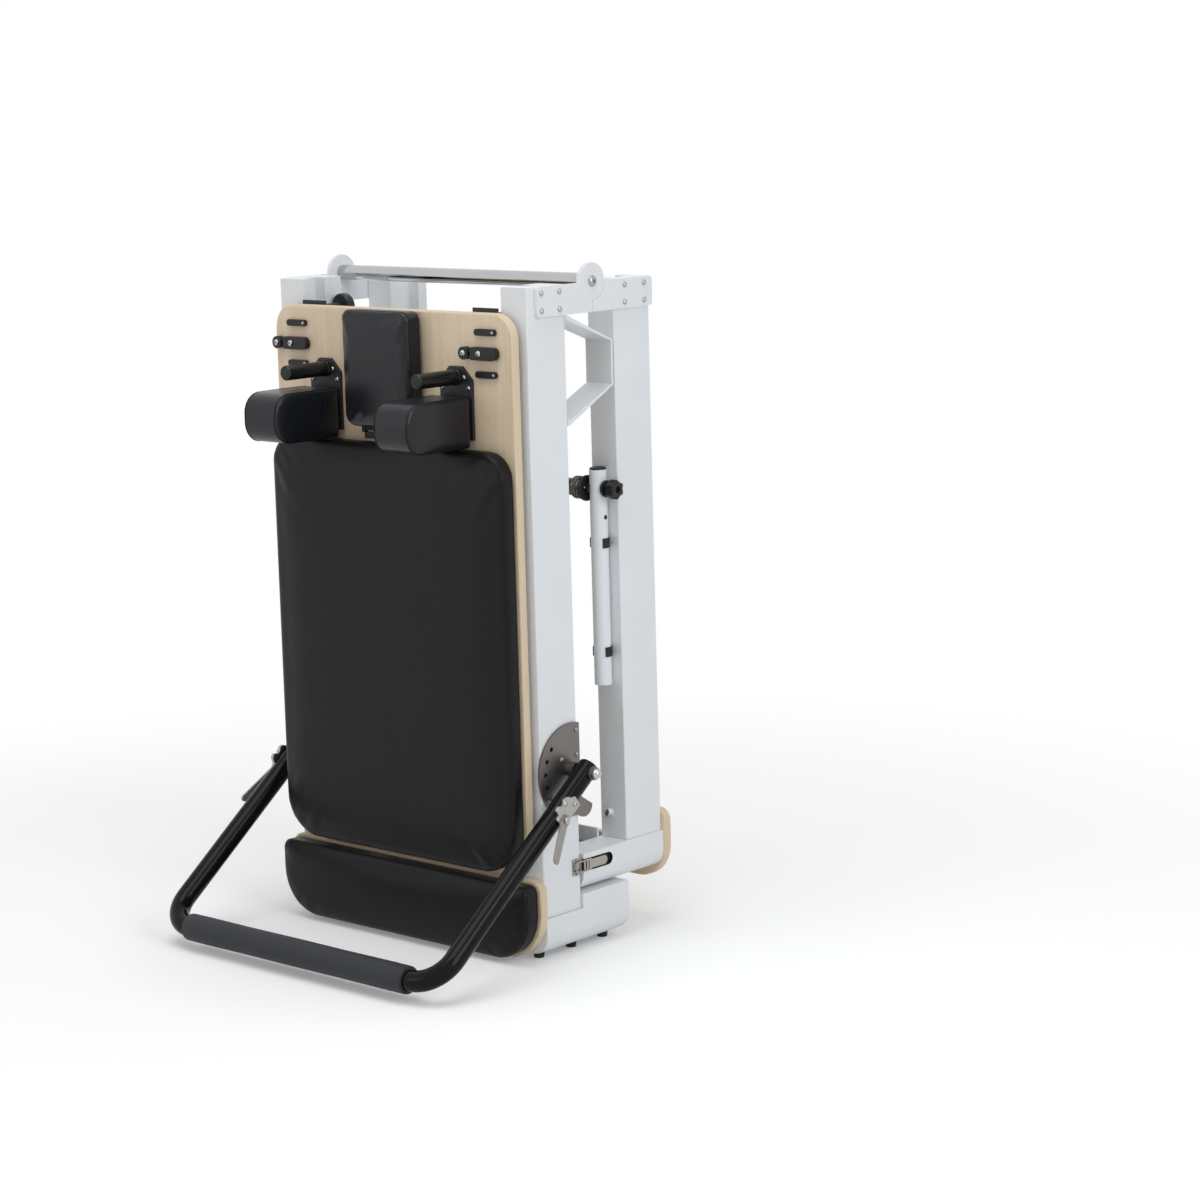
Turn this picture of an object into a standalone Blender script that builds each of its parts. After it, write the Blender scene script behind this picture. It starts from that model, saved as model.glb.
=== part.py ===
"""Folding pilates reformer, folded in two and standing on its foot end.

Metres, +Z up. X runs across the machine, -Y is the side that faces up in use,
and the floor is Z = 0. The foot half stands in front and carries the carriage
and the footbar. The head half hangs behind it from the fold pivot at the top.
Each piece that turns has its origin, or its parent empty, on its own axis.
"""

import math

import bmesh
import bpy
from mathutils import Vector

# Gaps
FIT = 0.0003                # between pieces that touch
SINK = 0.001                # how far a welded piece runs into its neighbour
RUN = 0.0005                # between pieces that move past each other

# Frame rails
FRAME_WIDTH = 0.624         # over the outer faces of the rails
RAIL_WIDTH = 0.061          # one rail across the machine
RAIL_DEPTH = 0.097          # one rail from its top face to its underside
RAIL_WALL = 0.004
RAIL_EDGE = 0.003           # rounding of the outer edges
FOLD_AIR = 0.004            # between a leg's end and the rails of the other half
PIVOT_HEIGHT = 1.206        # fold pivot above the floor
END_GAP = 0.001             # rail end to the fold plane
TRACK_LIP = 0.022           # front lip beside the wheel track
TRACK_WIDTH = 0.034         # wheel track between its lips
TRACK_DEPTH = 0.026         # wheel track into the rail

# Feet and legs
FOOT_HEIGHT = 0.014         # rubber feet under the foot legs
FOOT_RADIUS = 0.011
STRIP_THICK = 0.002         # rubber strip that joins the feet of one side
STRIP_WIDTH = 0.014
FOOT_LEG_SOLE = 0.068       # height of the leg below the rail end
FOOT_LEG_HEEL = 0.094       # height of the leg behind the rail
LEG_STEP = 0.003            # air between the foot leg and the head leg
HEAD_LEG_HEIGHT = 0.070
LEG_REACH = 0.124           # leg past the underside of the rail
LEG_PROUD = 0.005           # leg outside the rail's outer face
LEG_ROUND = 0.034           # round lower outer edge of a leg
PAD_THICK = 0.0022          # rubber pad on each leg end
PAD_RADIUS = 0.018
TIE_DEPTH = 0.056           # cross tie between the foot legs
TIE_HEIGHT = 0.040
TRAY_AIR = 0.010            # cross tray in front of the head rails
TRAY_DEPTH = 0.065
TRAY_LOW = 0.166
TRAY_HIGH = 0.198
TRAY_WALL = 0.004
MID_FOOT_PLATE = 0.005      # bent flat bar
MID_FOOT_TOP = 0.056        # below the fold pivot
MID_FOOT_DROP = 0.052       # upper slant
MID_FOOT_LAND = 0.080       # straight run that stands on the floor in use
MID_FOOT_RISE = 0.062       # lower slant
MID_FOOT_TAB = 0.014        # foot end against the rail

# Fold hinge
LEAF_HEIGHT = 0.054
LEAF_THICK = 0.008
LEAF_SETBACK = 0.018        # leaf end behind the front face of the rail
LEAF_CORNER = 0.007
LEAF_SCREW_INSET = 0.011
EAR_RADIUS = 0.033
FOLD_BAR_RADIUS = 0.014
FOLD_BOLT_RADIUS = 0.006
FOLD_HEAD_RADIUS = 0.0095
FOLD_HEAD_HEIGHT = 0.005
SCREW_RADIUS = 0.0046
SCREW_HEIGHT = 0.0026

# Boards and cushions
BOARD_THICK = 0.018
BOARD_EDGE = 0.002
PLATFORM_OVERHANG = 0.009   # platform past the outer face of each rail
PLATFORM_BOTTOM = 0.004
PLATFORM_HEIGHT = 0.150
PLATFORM_CORNER_HIGH = 0.022
PLATFORM_CORNER_LOW = 0.088
PLATFORM_PAD = 0.040
PAD_MARGIN = 0.004          # board seen round its cushion
HEAD_BOARD_THICK = 0.0175
HEAD_BOARD_BOTTOM = 0.086
HEAD_BOARD_HEIGHT = 0.134
HEAD_NOTCH_DEPTH = 0.065      # wide cut in the head board's upper edge
HEAD_NOTCH_INSET = 0.016      # its ends inside the rails
HEAD_NOTCH_ROUND = 0.020
CARRIAGE_SETBACK = 0.012    # board inside the outer face of each rail
CARRIAGE_BELOW = 0.045      # board's head end below the fold pivot
CARRIAGE_GAP = 0.007        # above the platform
CARRIAGE_STAND = 0.008      # board in front of the rail face
CARRIAGE_CORNER_HIGH = 0.045
CARRIAGE_CORNER_LOW = 0.085
CARRIAGE_PAD = 0.038
CARRIAGE_HEAD = 0.238       # bare board between the cushion and the head end
CARRIAGE_PAD_CORNER = 0.055
CROWN = 0.005               # rise of a cushion's middle
DRAW_IN = 0.004             # sides of a cushion pull in between its corners
SEAM_ROUND = 0.010          # round of a cushion's front edge

# Headrest
HEADREST_WIDTH = 0.170
HEADREST_HEIGHT = 0.219
HEADREST_PAD = 0.041
HEADREST_BASE = 0.004
HEADREST_PIN = 0.003
HEADREST_LIFT = 0.020       # above the carriage cushion
HEADREST_CORNER_LOW = 0.024
HEADREST_CORNER_HIGH = 0.016
HINGE_LUG = 0.008
HINGE_LEAF = 0.012

# Shoulder rests
SHOULDER_WIDTH = 0.092
SHOULDER_HEIGHT = 0.094
SHOULDER_TALL = 0.164
SHOULDER_INSET = 0.027      # pad's outer side inside the rope guides' middle
SHOULDER_STAND = 0.014      # pad end above the carriage board
SHOULDER_ROUND = 0.036
BRACKET_THICK = 0.0055
BRACKET_WIDTH = 0.078
BRACKET_HEIGHT = 0.129
BRACKET_CHAMFER = 0.024
BRACKET_BLOCK = 0.020       # mounting block inside the pad's end, on each side
BRACKET_START = 0.014       # plate's low edge above the pad's low face
PEG_RADIUS = 0.0132
PEG_LENGTH = 0.098
PEG_INSET = 0.019           # peg below the plate's top edge

# Rope fittings on the carriage
FITTING_INSET = 0.061       # middle of the guides inside the board's side edge
GUIDE_LENGTH = 0.050
GUIDE_WIDTH = 0.012
GUIDE_THICK = 0.006
GUIDE_PITCH = 0.037         # guide to cleat
GUIDE_BELOW_TOP = 0.033     # upper guide below the board's top edge
CLEAT_THICK = 0.012
CLEAT_WIDTH = 0.023
CLEAT_SHIFT = -0.0475       # fixed jaw beside the guides' middle
CLEAT_PITCH = 0.038         # fixed jaw to the cam's bolt
CAM_HEEL = 0.021            # cam from its bolt towards the jaw
CAM_TAIL = 0.040            # cam from its bolt to its tail
FITTING_BOLT = 0.0026
BACK_PLATE = 0.002

# Running gear of the carriage
LOAD_WHEEL_RADIUS = 0.0164
LOAD_WHEEL_WIDTH = 0.020
GUIDE_WHEEL_RADIUS = 0.025
GUIDE_WHEEL_WIDTH = 0.018
GUIDE_WHEEL_DEPTH = 0.077   # middle of the guide wheels behind the rail face
AXLE_RADIUS = 0.004
HUB_RADIUS = 0.009
TRUCK_PLATE = 0.004
TRUCK_WIDTH = 0.060         # plate of one corner across the machine
TRUCK_SIDE = 0.056          # truck along the rail
TRUCK_CLEAR = 0.004         # truck inside the rail
TRUCK_ABOVE = 0.007         # upper truck seen above the board's top edge
TRUCK_LOW = 0.050           # lower guide wheels above the board's lower edge
TRUCK_MARGIN = 0.018        # plate past the guide wheel's axle
WHEEL_PITCH = 0.062         # guide wheel to load wheel

# Springs
SPRING_COUNT = 4
SPRING_PITCH = 0.085
SPRING_LENGTH = 0.330
SPRING_RADIUS = 0.0155
SPRING_NECK = 0.060
SPRING_WIRE = 0.003
SPRING_DEPTH = 0.068        # behind the rail face
SPRING_BAR = 0.014
SPRING_BAR_LIFT = 0.030     # spring bar above the foot legs
SPRING_LOW = 0.020          # lower holder above the board's lower edge
SPRING_HOOK = 0.012
BUFFER_RADIUS = 0.009

# Footbar
FOOTBAR_PIVOT_Y = 0.077
FOOTBAR_PIVOT_Z = 0.342
FOOTBAR_ANGLE = math.radians(37.6)
FOOTBAR_REACH = 0.4945
ARM_CLEAR = 0.0117          # arm outside its sector plate
FOOTBAR_RADIUS = 0.019
FOOTBAR_BEND = 0.060
FOOTBAR_TAIL = 0.016        # arm past its pivot
GRIP_RADIUS = 0.025
GRIP_SHORT = 0.005          # grip end before the bend
SECTOR_THICK = 0.005
SECTOR_RADIUS = 0.0855
SECTOR_BACK = 0.021         # straight rear edge behind the pivot
SECTOR_STOP_RADIUS = 0.0205  # round tab at the plate's lower rear end
SECTOR_STOP_BACK = 0.031    # its middle behind the pivot
SECTOR_STOP_DOWN = 0.072    # and below it
HOLE_RING = 0.070
HOLE_RADIUS = 0.0045
HOLE_STEP = math.radians(19.6)
HOLE_COUNT = 5
PIVOT_BOLT = 0.0065
PIVOT_COLLAR = 0.014
NUT_RADIUS = 0.011
NUT_HEIGHT = 0.011
LOCK_PIN = 0.004
LOCK_CLEAR = 0.0006         # lock pin stands clear of the plate
LOCK_PLATE = 0.004
LEVER_ALONG = 0.106         # lever bolt from the footbar's pivot
LEVER_BELOW = 0.005
LEVER_THICK = 0.004
LEVER_WIDTH = 0.019
LEVER_LENGTH = 0.081
LEVER_ANGLE = -137
LEVER_BEND = 0.014          # blade turns outwards this far from the lever's bolt
LEVER_SPLAY = 0.028         # blade's end further out than its flat root
LEVER_BOLT = 0.004

# Risers stored behind the head rails
RISER_RADIUS = 0.016
RISER_WALL = 0.002
RISER_LENGTH = 0.393
RISER_BELOW = 0.341         # riser's top below the fold pivot
RISER_CAP = 0.005
KNOB_RADIUS = 0.0165
KNOB_LENGTH = 0.020
KNOB_BELOW_TOP = 0.034
COLLAR_RADIUS = 0.012
COLLAR_LENGTH = 0.004
STEM_RADIUS = 0.008
STEM_LENGTH = 0.007
SPOOL_RADIUS = 0.0235
SPOOL_CORE = 0.009
SPOOL_LENGTH = 0.054
FLANGE = 0.004
ROPE_RADIUS = 0.003
ROPE_LOOPS = 6
LOOP_POINTS = 12
CLIP_HEIGHT = 0.018
CLIP_WALL = 0.002
CLIP_LOW = 0.061            # lower clip above the riser's foot
CLIP_PITCH = 0.199

# Transport latch
LATCH_HEIGHT = 0.022
LATCH_MIDDLE = 0.160        # above the floor
LATCH_PIVOT_Y = 0.168
LATCH_LENGTH = 0.056
LATCH_PLATE = 0.0025
SLOT_DEPTH = 0.006
CATCH_WIDTH = 0.018
CATCH_INSET = 0.004
CATCH_PLATE = 0.0022
CATCH_LIP = 0.0015
HOOK_WIRE = 0.003
HOOK_LENGTH = 0.044
HOOK_LAP = 0.010

# Places that follow from the values above
RAIL_OUT = FRAME_WIDTH / 2
RAIL_IN = RAIL_OUT - RAIL_WIDTH
FOLD_GAP = LEG_REACH + FOLD_AIR
HEAD_FRONT = RAIL_DEPTH + FOLD_GAP
HEAD_BACK = HEAD_FRONT + RAIL_DEPTH
PIVOT_Y = RAIL_DEPTH + FOLD_GAP / 2
PIVOT = Vector((0, PIVOT_Y, PIVOT_HEIGHT))
RAIL_TOP = PIVOT_HEIGHT - END_GAP
TRACK_FAR = TRACK_LIP + TRACK_WIDTH
TRACK_MIDDLE = TRACK_LIP + TRACK_WIDTH / 2
LEG_OUT = RAIL_OUT + LEG_PROUD
LEG_MIDDLE = RAIL_OUT - RAIL_WIDTH / 2
FOOT_LEG_TOP = FOOT_HEIGHT + FOOT_LEG_SOLE
FOOT_HEEL_TOP = FOOT_HEIGHT + FOOT_LEG_HEEL
HEAD_LEG_BOTTOM = FOOT_HEEL_TOP + LEG_STEP
HEAD_LEG_TOP = HEAD_LEG_BOTTOM + HEAD_LEG_HEIGHT
LEG_END = RAIL_DEPTH + LEG_REACH
HEAD_LEG_END = HEAD_FRONT - LEG_REACH
LEAF_IN = RAIL_OUT + FIT
LEAF_MIDDLE = LEAF_IN + LEAF_THICK / 2
LEAF_OUT = LEAF_IN + LEAF_THICK
SECTOR_IN = RAIL_OUT + FIT
SECTOR_OUT = SECTOR_IN + SECTOR_THICK
PLATFORM_WIDTH = FRAME_WIDTH + 2 * PLATFORM_OVERHANG
PLATFORM_TOP = PLATFORM_BOTTOM + PLATFORM_HEIGHT
CARRIAGE_WIDTH = FRAME_WIDTH - 2 * CARRIAGE_SETBACK
FITTING_SPAN = CARRIAGE_WIDTH - 2 * FITTING_INSET
BOARD_LOW = PLATFORM_TOP + CARRIAGE_GAP
BOARD_HIGH = PIVOT_HEIGHT - CARRIAGE_BELOW
BOARD_BACK = -CARRIAGE_STAND
BOARD_FACE = BOARD_BACK - BOARD_THICK
FACE = BOARD_FACE - FIT
PAD_LOW = BOARD_LOW + PAD_MARGIN
PAD_HIGH = BOARD_HIGH - CARRIAGE_HEAD
HEADREST_LOW = PAD_HIGH + HEADREST_LIFT
HEADREST_AXIS = Vector((0, FACE - HEADREST_PIN - RUN, HEADREST_LOW))
SHOULDER_LOW = PAD_HIGH + 2 * FIT
SHOULDER_HIGH = SHOULDER_LOW + SHOULDER_HEIGHT
SHOULDER_END = BOARD_FACE - SHOULDER_STAND
GUIDE_HIGH = BOARD_HIGH - GUIDE_BELOW_TOP
CLEAT_Z = GUIDE_HIGH - GUIDE_PITCH
GUIDE_LOW = CLEAT_Z - GUIDE_PITCH
GUIDE_X = RAIL_IN - RUN - GUIDE_WHEEL_RADIUS
TRUCK_OUT = RAIL_IN - TRUCK_CLEAR
TRUCK_IN = TRUCK_OUT - TRUCK_WIDTH
TRUCK_BACK = BOARD_BACK + FIT
GUIDE_Z = {"upper": BOARD_HIGH + TRUCK_ABOVE - TRUCK_MARGIN, "lower": BOARD_LOW + TRUCK_LOW}
LOAD_Z = {"upper": GUIDE_Z["upper"] - WHEEL_PITCH, "lower": GUIDE_Z["lower"] + WHEEL_PITCH}
SPRING_REACH = SPRING_PITCH * SPRING_COUNT / 2
HOLDER_LOW = BOARD_LOW + SPRING_LOW
HOLDER_HIGH = HOLDER_LOW + SPRING_LENGTH
SPRING_BAR_Z = FOOT_LEG_TOP + SPRING_BAR_LIFT
ARM_X = SECTOR_OUT + ARM_CLEAR + FOOTBAR_RADIUS
ARM_IN = ARM_X - FOOTBAR_RADIUS
ARM_OUT = ARM_X + FOOTBAR_RADIUS
FOOTBAR_PIVOT = Vector((0, FOOTBAR_PIVOT_Y, FOOTBAR_PIVOT_Z))
ARM_WAY = Vector((0, -math.cos(FOOTBAR_ANGLE), -math.sin(FOOTBAR_ANGLE)))
ARM_BELOW = Vector((0, math.sin(FOOTBAR_ANGLE), -math.cos(FOOTBAR_ANGLE)))
GRIP_AXIS = FOOTBAR_PIVOT + ARM_WAY * FOOTBAR_REACH
LOCK_OUT = ARM_OUT + LOCK_PLATE
RISER_X = RAIL_OUT - RAIL_WIDTH / 2
RISER_Y = HEAD_FRONT - FIT - CLIP_WALL - FIT - RISER_RADIUS
RISER_TOP = PIVOT_HEIGHT - RISER_BELOW
RISER_BOTTOM = RISER_TOP - RISER_LENGTH
KNOB_Z = RISER_TOP - KNOB_BELOW_TOP
KNOB_IN = RISER_X + RISER_RADIUS + RUN
SPOOL_Y = HEAD_FRONT - RUN - SPOOL_RADIUS
SPOOL_OUT = RISER_X - RISER_RADIUS - FIT
SPOOL_IN = SPOOL_OUT - SPOOL_LENGTH
LATCH_X = LEG_OUT - RUN
SIDES = {"left": -1, "right": 1}


def clear_scene():
    for item in list(bpy.data.objects):
        bpy.data.objects.remove(item, do_unlink=True)


def material(name, colour, roughness, metallic=0.0):
    mat = bpy.data.materials.new(name)
    mat.use_nodes = True
    shader = mat.node_tree.nodes["Principled BSDF"]
    shader.inputs["Base Color"].default_value = (*colour, 1.0)
    shader.inputs["Roughness"].default_value = roughness
    shader.inputs["Metallic"].default_value = metallic
    mat.diffuse_color = (*colour, 1.0)
    return mat


def world_place(item):
    place = Vector(item.location)
    while item.parent:
        item = item.parent
        place += item.location
    return place


def hang(item, place, parent):
    """Set an object at a world place under a parent that isn't turned."""
    bpy.context.collection.objects.link(item)
    item.parent = parent
    item.location = Vector(place) - (world_place(parent) if parent else Vector())
    return item


def empty(name, place, parent=None):
    item = bpy.data.objects.new(name, None)
    item.empty_display_size = 0.05
    return hang(item, place, parent)


def finish(name, bm, mat, parent, origin=None, smooth=35):
    """Turn a bmesh in world coordinates into one named object."""
    origin = Vector(origin) if origin is not None else world_place(parent)
    bmesh.ops.remove_doubles(bm, verts=bm.verts, dist=0.00001)
    bmesh.ops.recalc_face_normals(bm, faces=bm.faces)
    bmesh.ops.translate(bm, verts=bm.verts, vec=-origin)
    mesh = bpy.data.meshes.new(name)
    bm.to_mesh(mesh)
    bm.free()
    mesh.materials.append(mat)
    mesh.shade_smooth()
    mesh.set_sharp_from_angle(angle=math.radians(smooth))
    return hang(bpy.data.objects.new(name, mesh), origin, parent)


def combine(item, word, bm, operation):
    """Cut or join a closed bmesh in world coordinates, kept as a wire helper."""
    bmesh.ops.recalc_face_normals(bm, faces=bm.faces)
    name = f"{item.name}_{word}"
    mesh = bpy.data.meshes.new(name)
    bm.to_mesh(mesh)
    bm.free()
    helper = hang(bpy.data.objects.new(name, mesh), (0, 0, 0), None)
    helper.hide_render = True
    helper.display_type = "WIRE"
    modifier = item.modifiers.new(word, "BOOLEAN")
    modifier.operation = operation
    modifier.solver = "EXACT"
    modifier.object = helper


def cut(item, word, bm):
    combine(item, word, bm, "DIFFERENCE")


def weld(item, word, bm):
    combine(item, word, bm, "UNION")


def point(axis, u, v, w):
    """A point from two coordinates across an axis and one along it."""
    if axis == "X":
        return Vector((w, u, v))
    if axis == "Y":
        return Vector((u, w, v))
    return Vector((u, v, w))


def prism(bm, outline, axis, low, high):
    """Extrude a flat outline along an axis."""
    verts = [bm.verts.new(point(axis, u, v, low)) for u, v in outline]
    grown = bmesh.ops.extrude_face_region(bm, geom=[bm.faces.new(verts)])["geom"]
    tops = [item for item in grown if isinstance(item, bmesh.types.BMVert)]
    bmesh.ops.translate(bm, verts=tops, vec=point(axis, 0, 0, high - low))


def block(bm, low, high):
    """A box from its lowest and highest corners."""
    outline = [(low[0], low[1]), (high[0], low[1]), (high[0], high[1]), (low[0], high[1])]
    prism(bm, outline, "Z", low[2], high[2])


def circle(sides):
    turn = [2 * math.pi * i / sides for i in range(sides)]
    return [(math.cos(a), math.sin(a)) for a in turn]


def arc(middle, radius, start, end, steps):
    """Points on a round stretch, angles in degrees."""
    turn = [math.radians(start + (end - start) * i / steps) for i in range(steps + 1)]
    return [(middle[0] + radius * math.cos(a), middle[1] + radius * math.sin(a)) for a in turn]


def rounded(u0, u1, v0, v1, radii, steps=5, runs=(1, 1)):
    """A rectangle with four corner radii, from low left anticlockwise."""
    places = [(u0, v0, 1, 1, 180), (u1, v0, -1, 1, 270), (u1, v1, -1, -1, 0), (u0, v1, 1, -1, 90)]
    corners = []
    for (u, v, way_u, way_v, start), radius in zip(places, radii):
        middle = (u + way_u * radius, v + way_v * radius)
        corners.append(arc(middle, radius, start, start + 90, steps) if radius else [(u, v)])
    outline = []
    for index, corner in enumerate(corners):
        outline += corner
        begin, stop = corner[-1], corners[(index + 1) % 4][0]
        for step in range(1, runs[index % 2]):
            share = step / runs[index % 2]
            outline.append(tuple(a + (b - a) * share for a, b in zip(begin, stop)))
    return outline


def rod(bm, axis, u, v, radius, low, high, sides=16):
    """A round bar along an axis."""
    prism(bm, [(radius * c + u, radius * s + v) for c, s in circle(sides)], axis, low, high)


def lathe(bm, axis, u, v, profile, sides=20, closed=False):
    """Spin a profile of (radius, place along the axis) round an axis line."""
    rings = []
    for radius, along in profile:
        rings.append([bm.verts.new(point(axis, u + radius * c, v + radius * s, along))
                      for c, s in circle(sides)])
    if closed:
        rings.append(rings[0])
    bridge(bm, rings, not closed)


def bridge(bm, rings, caps=True):
    """Faces between rings of points, and over the first and the last."""
    for one, two in zip(rings, rings[1:]):
        for i in range(len(one)):
            j = (i + 1) % len(one)
            bm.faces.new((one[i], one[j], two[j], two[i]))
    if caps:
        bm.faces.new(rings[0])
        bm.faces.new(rings[-1])


def dome(bm, axis, u, v, radius, base, rise, sides=8):
    """A low button head whose base is sunk into the face that it sits on."""
    sink = -math.copysign(SINK, rise)
    profile = [(radius, base + sink), (radius, base + rise * 0.5), (radius * 0.6, base + rise)]
    lathe(bm, axis, u, v, profile, sides)


def padded(bm, outline, place, thick, seam, both=False):
    """A cushion from rings of its outline, with drawn-in sides and a crown."""
    us = [u for u, v in outline]
    vs = [v for u, v in outline]
    mid_u, mid_v = (min(us) + max(us)) / 2, (min(vs) + max(vs)) / 2
    half_u, half_v = (max(us) - min(us)) / 2, (max(vs) - min(vs)) / 2
    low = min(half_u, half_v)
    edge = thick - CROWN
    front = [(0.0, edge - seam), (seam * 0.3, edge - seam * 0.35), (seam, edge),
             (low * 0.45, thick - CROWN * 0.3), (low * 0.75, thick)]
    back = [(seam * 0.25, 0.0), (0.0, seam * 0.5)]
    if both:
        back = [(inset, thick - level) for inset, level in reversed(front)]
    rings = []
    for inset, level in back + front:
        ring = []
        for u, v in outline:
            across = (u - mid_u) / half_u
            along = (v - mid_v) / half_v
            pull_u = DRAW_IN * math.cos(along * math.pi / 2) + inset
            pull_v = DRAW_IN * math.cos(across * math.pi / 2) + inset
            ring.append(bm.verts.new(place(mid_u + across * (half_u - pull_u),
                                           mid_v + along * (half_v - pull_v), level)))
        rings.append(ring)
    bridge(bm, rings)


def tube(name, run, radius, mat, parent):
    """A round cord along a list of points, as a curve."""
    origin = world_place(parent)
    curve = bpy.data.curves.new(name, "CURVE")
    curve.dimensions = "3D"
    curve.bevel_depth = radius
    curve.bevel_resolution = 1
    curve.use_fill_caps = True
    spline = curve.splines.new("POLY")
    spline.points.add(len(run) - 1)
    for target, place in zip(spline.points, run):
        target.co = (*(Vector(place) - origin), 1.0)
    curve.materials.append(mat)
    return hang(bpy.data.objects.new(name, curve), origin, parent)


def flipped(outline, side):
    """An outline in X and another axis, put on the left or the right."""
    return [(side * u, v) for u, v in outline]


def span(side, near, far):
    """Lowest and highest X of a piece between two distances from the middle."""
    return (near, far) if side > 0 else (-far, -near)


# Rails, legs and feet

def rail(half, word, mat, parent):
    """A hollow rail with the wheel track in its inner face."""
    side = SIDES[word]
    low = (FOOT_LEG_TOP if half == "foot" else HEAD_LEG_TOP) + FIT
    deep = RAIL_IN + TRACK_DEPTH
    outline = [(RAIL_IN, 0), (RAIL_OUT, 0), (RAIL_OUT, RAIL_DEPTH), (RAIL_IN, RAIL_DEPTH),
               (RAIL_IN, TRACK_FAR), (deep, TRACK_FAR), (deep, TRACK_LIP), (RAIL_IN, TRACK_LIP)]
    wall = RAIL_WALL
    hollow = [(deep + wall, wall), (RAIL_OUT - wall, wall), (RAIL_OUT - wall, RAIL_DEPTH - wall),
              (RAIL_IN + wall, RAIL_DEPTH - wall), (RAIL_IN + wall, TRACK_FAR + wall),
              (deep + wall, TRACK_FAR + wall)]

    def placed(points):
        if half == "head":
            return [(side * u, HEAD_BACK - v) for u, v in points]
        return [(side * u, v) for u, v in points]

    bm = bmesh.new()
    prism(bm, placed(outline), "Z", low, RAIL_TOP)
    outer = [edge for edge in bm.edges
             if abs(edge.verts[0].co.z - edge.verts[1].co.z) > RAIL_DEPTH
             and abs(abs(edge.verts[0].co.x) - RAIL_OUT) < FIT]
    bmesh.ops.bevel(bm, geom=outer, offset=RAIL_EDGE, segments=2, affect="EDGES", profile=0.5)
    item = finish(f"rail_{half}_{word}", bm, mat, parent)
    core = bmesh.new()
    prism(core, placed(hollow), "Z", low - wall, RAIL_TOP - wall)
    cut(item, "core", core)
    fixed = bmesh.new()
    if half == "foot":
        y = RAIL_DEPTH - CATCH_INSET
        plate = RAIL_OUT + CATCH_PLATE
        lip = plate + CATCH_LIP
        near, far = y - CATCH_WIDTH * 0.55, y - CATCH_WIDTH * 0.4
        outline = [(RAIL_OUT - SINK, y), (RAIL_OUT - SINK, y - CATCH_WIDTH), (plate, y - CATCH_WIDTH),
                   (plate, near), (lip, near), (lip, far), (plate, far), (plate, y)]
        reach = LATCH_HEIGHT / 2 + CATCH_INSET
        prism(fixed, flipped(outline, side), "Z", LATCH_MIDDLE - reach, LATCH_MIDDLE + reach)
        weld(item, "catch", fixed)
    else:
        dome(fixed, "Y", side * (RAIL_IN + RAIL_WIDTH * 0.36), HEAD_LEG_TOP + RAIL_WIDTH * 0.77,
             FOLD_HEAD_RADIUS * 0.85, HEAD_FRONT, -FOLD_HEAD_HEIGHT, 12)
        weld(item, "bolt", fixed)
    return item


def leg(outline, side, low):
    """One leg from its side view, with a round lower outer edge."""
    bm = bmesh.new()
    prism(bm, outline, "X", *span(side, RAIL_IN, LEG_OUT))
    edges = [edge for edge in bm.edges
             if all(abs(vert.co.x - side * LEG_OUT) < FIT and abs(vert.co.z - low) < FIT
                    for vert in edge.verts)]
    bmesh.ops.bevel(bm, geom=edges, offset=LEG_ROUND, segments=5, affect="EDGES", profile=0.5)
    return bm


def legs(name, outline, low, mat, parent):
    """A left and a right leg, which a cross piece then makes one."""
    item = finish(name, leg(outline, -1, low), mat, parent)
    weld(item, "other_leg", leg(outline, 1, low))
    return item


def foot_frame(mat, parent):
    outline = [(0, FOOT_HEIGHT), (LEG_END, FOOT_HEIGHT), (LEG_END, FOOT_HEEL_TOP),
               (RAIL_DEPTH + FIT, FOOT_HEEL_TOP), (RAIL_DEPTH + FIT, FOOT_LEG_TOP),
               (0, FOOT_LEG_TOP)]
    item = legs("foot_frame", outline, FOOT_HEIGHT, mat, parent)
    reach = RAIL_IN + SINK
    rear = LEG_END - TIE_DEPTH * 0.15
    tie = bmesh.new()
    block(tie, (-reach, rear - TIE_DEPTH, FOOT_LEG_TOP - TIE_HEIGHT - SINK),
          (reach, rear, FOOT_LEG_TOP - SINK))
    weld(item, "tie", tie)
    pads = bmesh.new()
    for side in SIDES.values():
        rod(pads, "Y", side * LEG_MIDDLE, FOOT_HEIGHT + FOOT_LEG_HEEL * 0.6, PAD_RADIUS,
            LEG_END - SINK, LEG_END + PAD_THICK)
    weld(item, "pads", pads)
    return item


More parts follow.
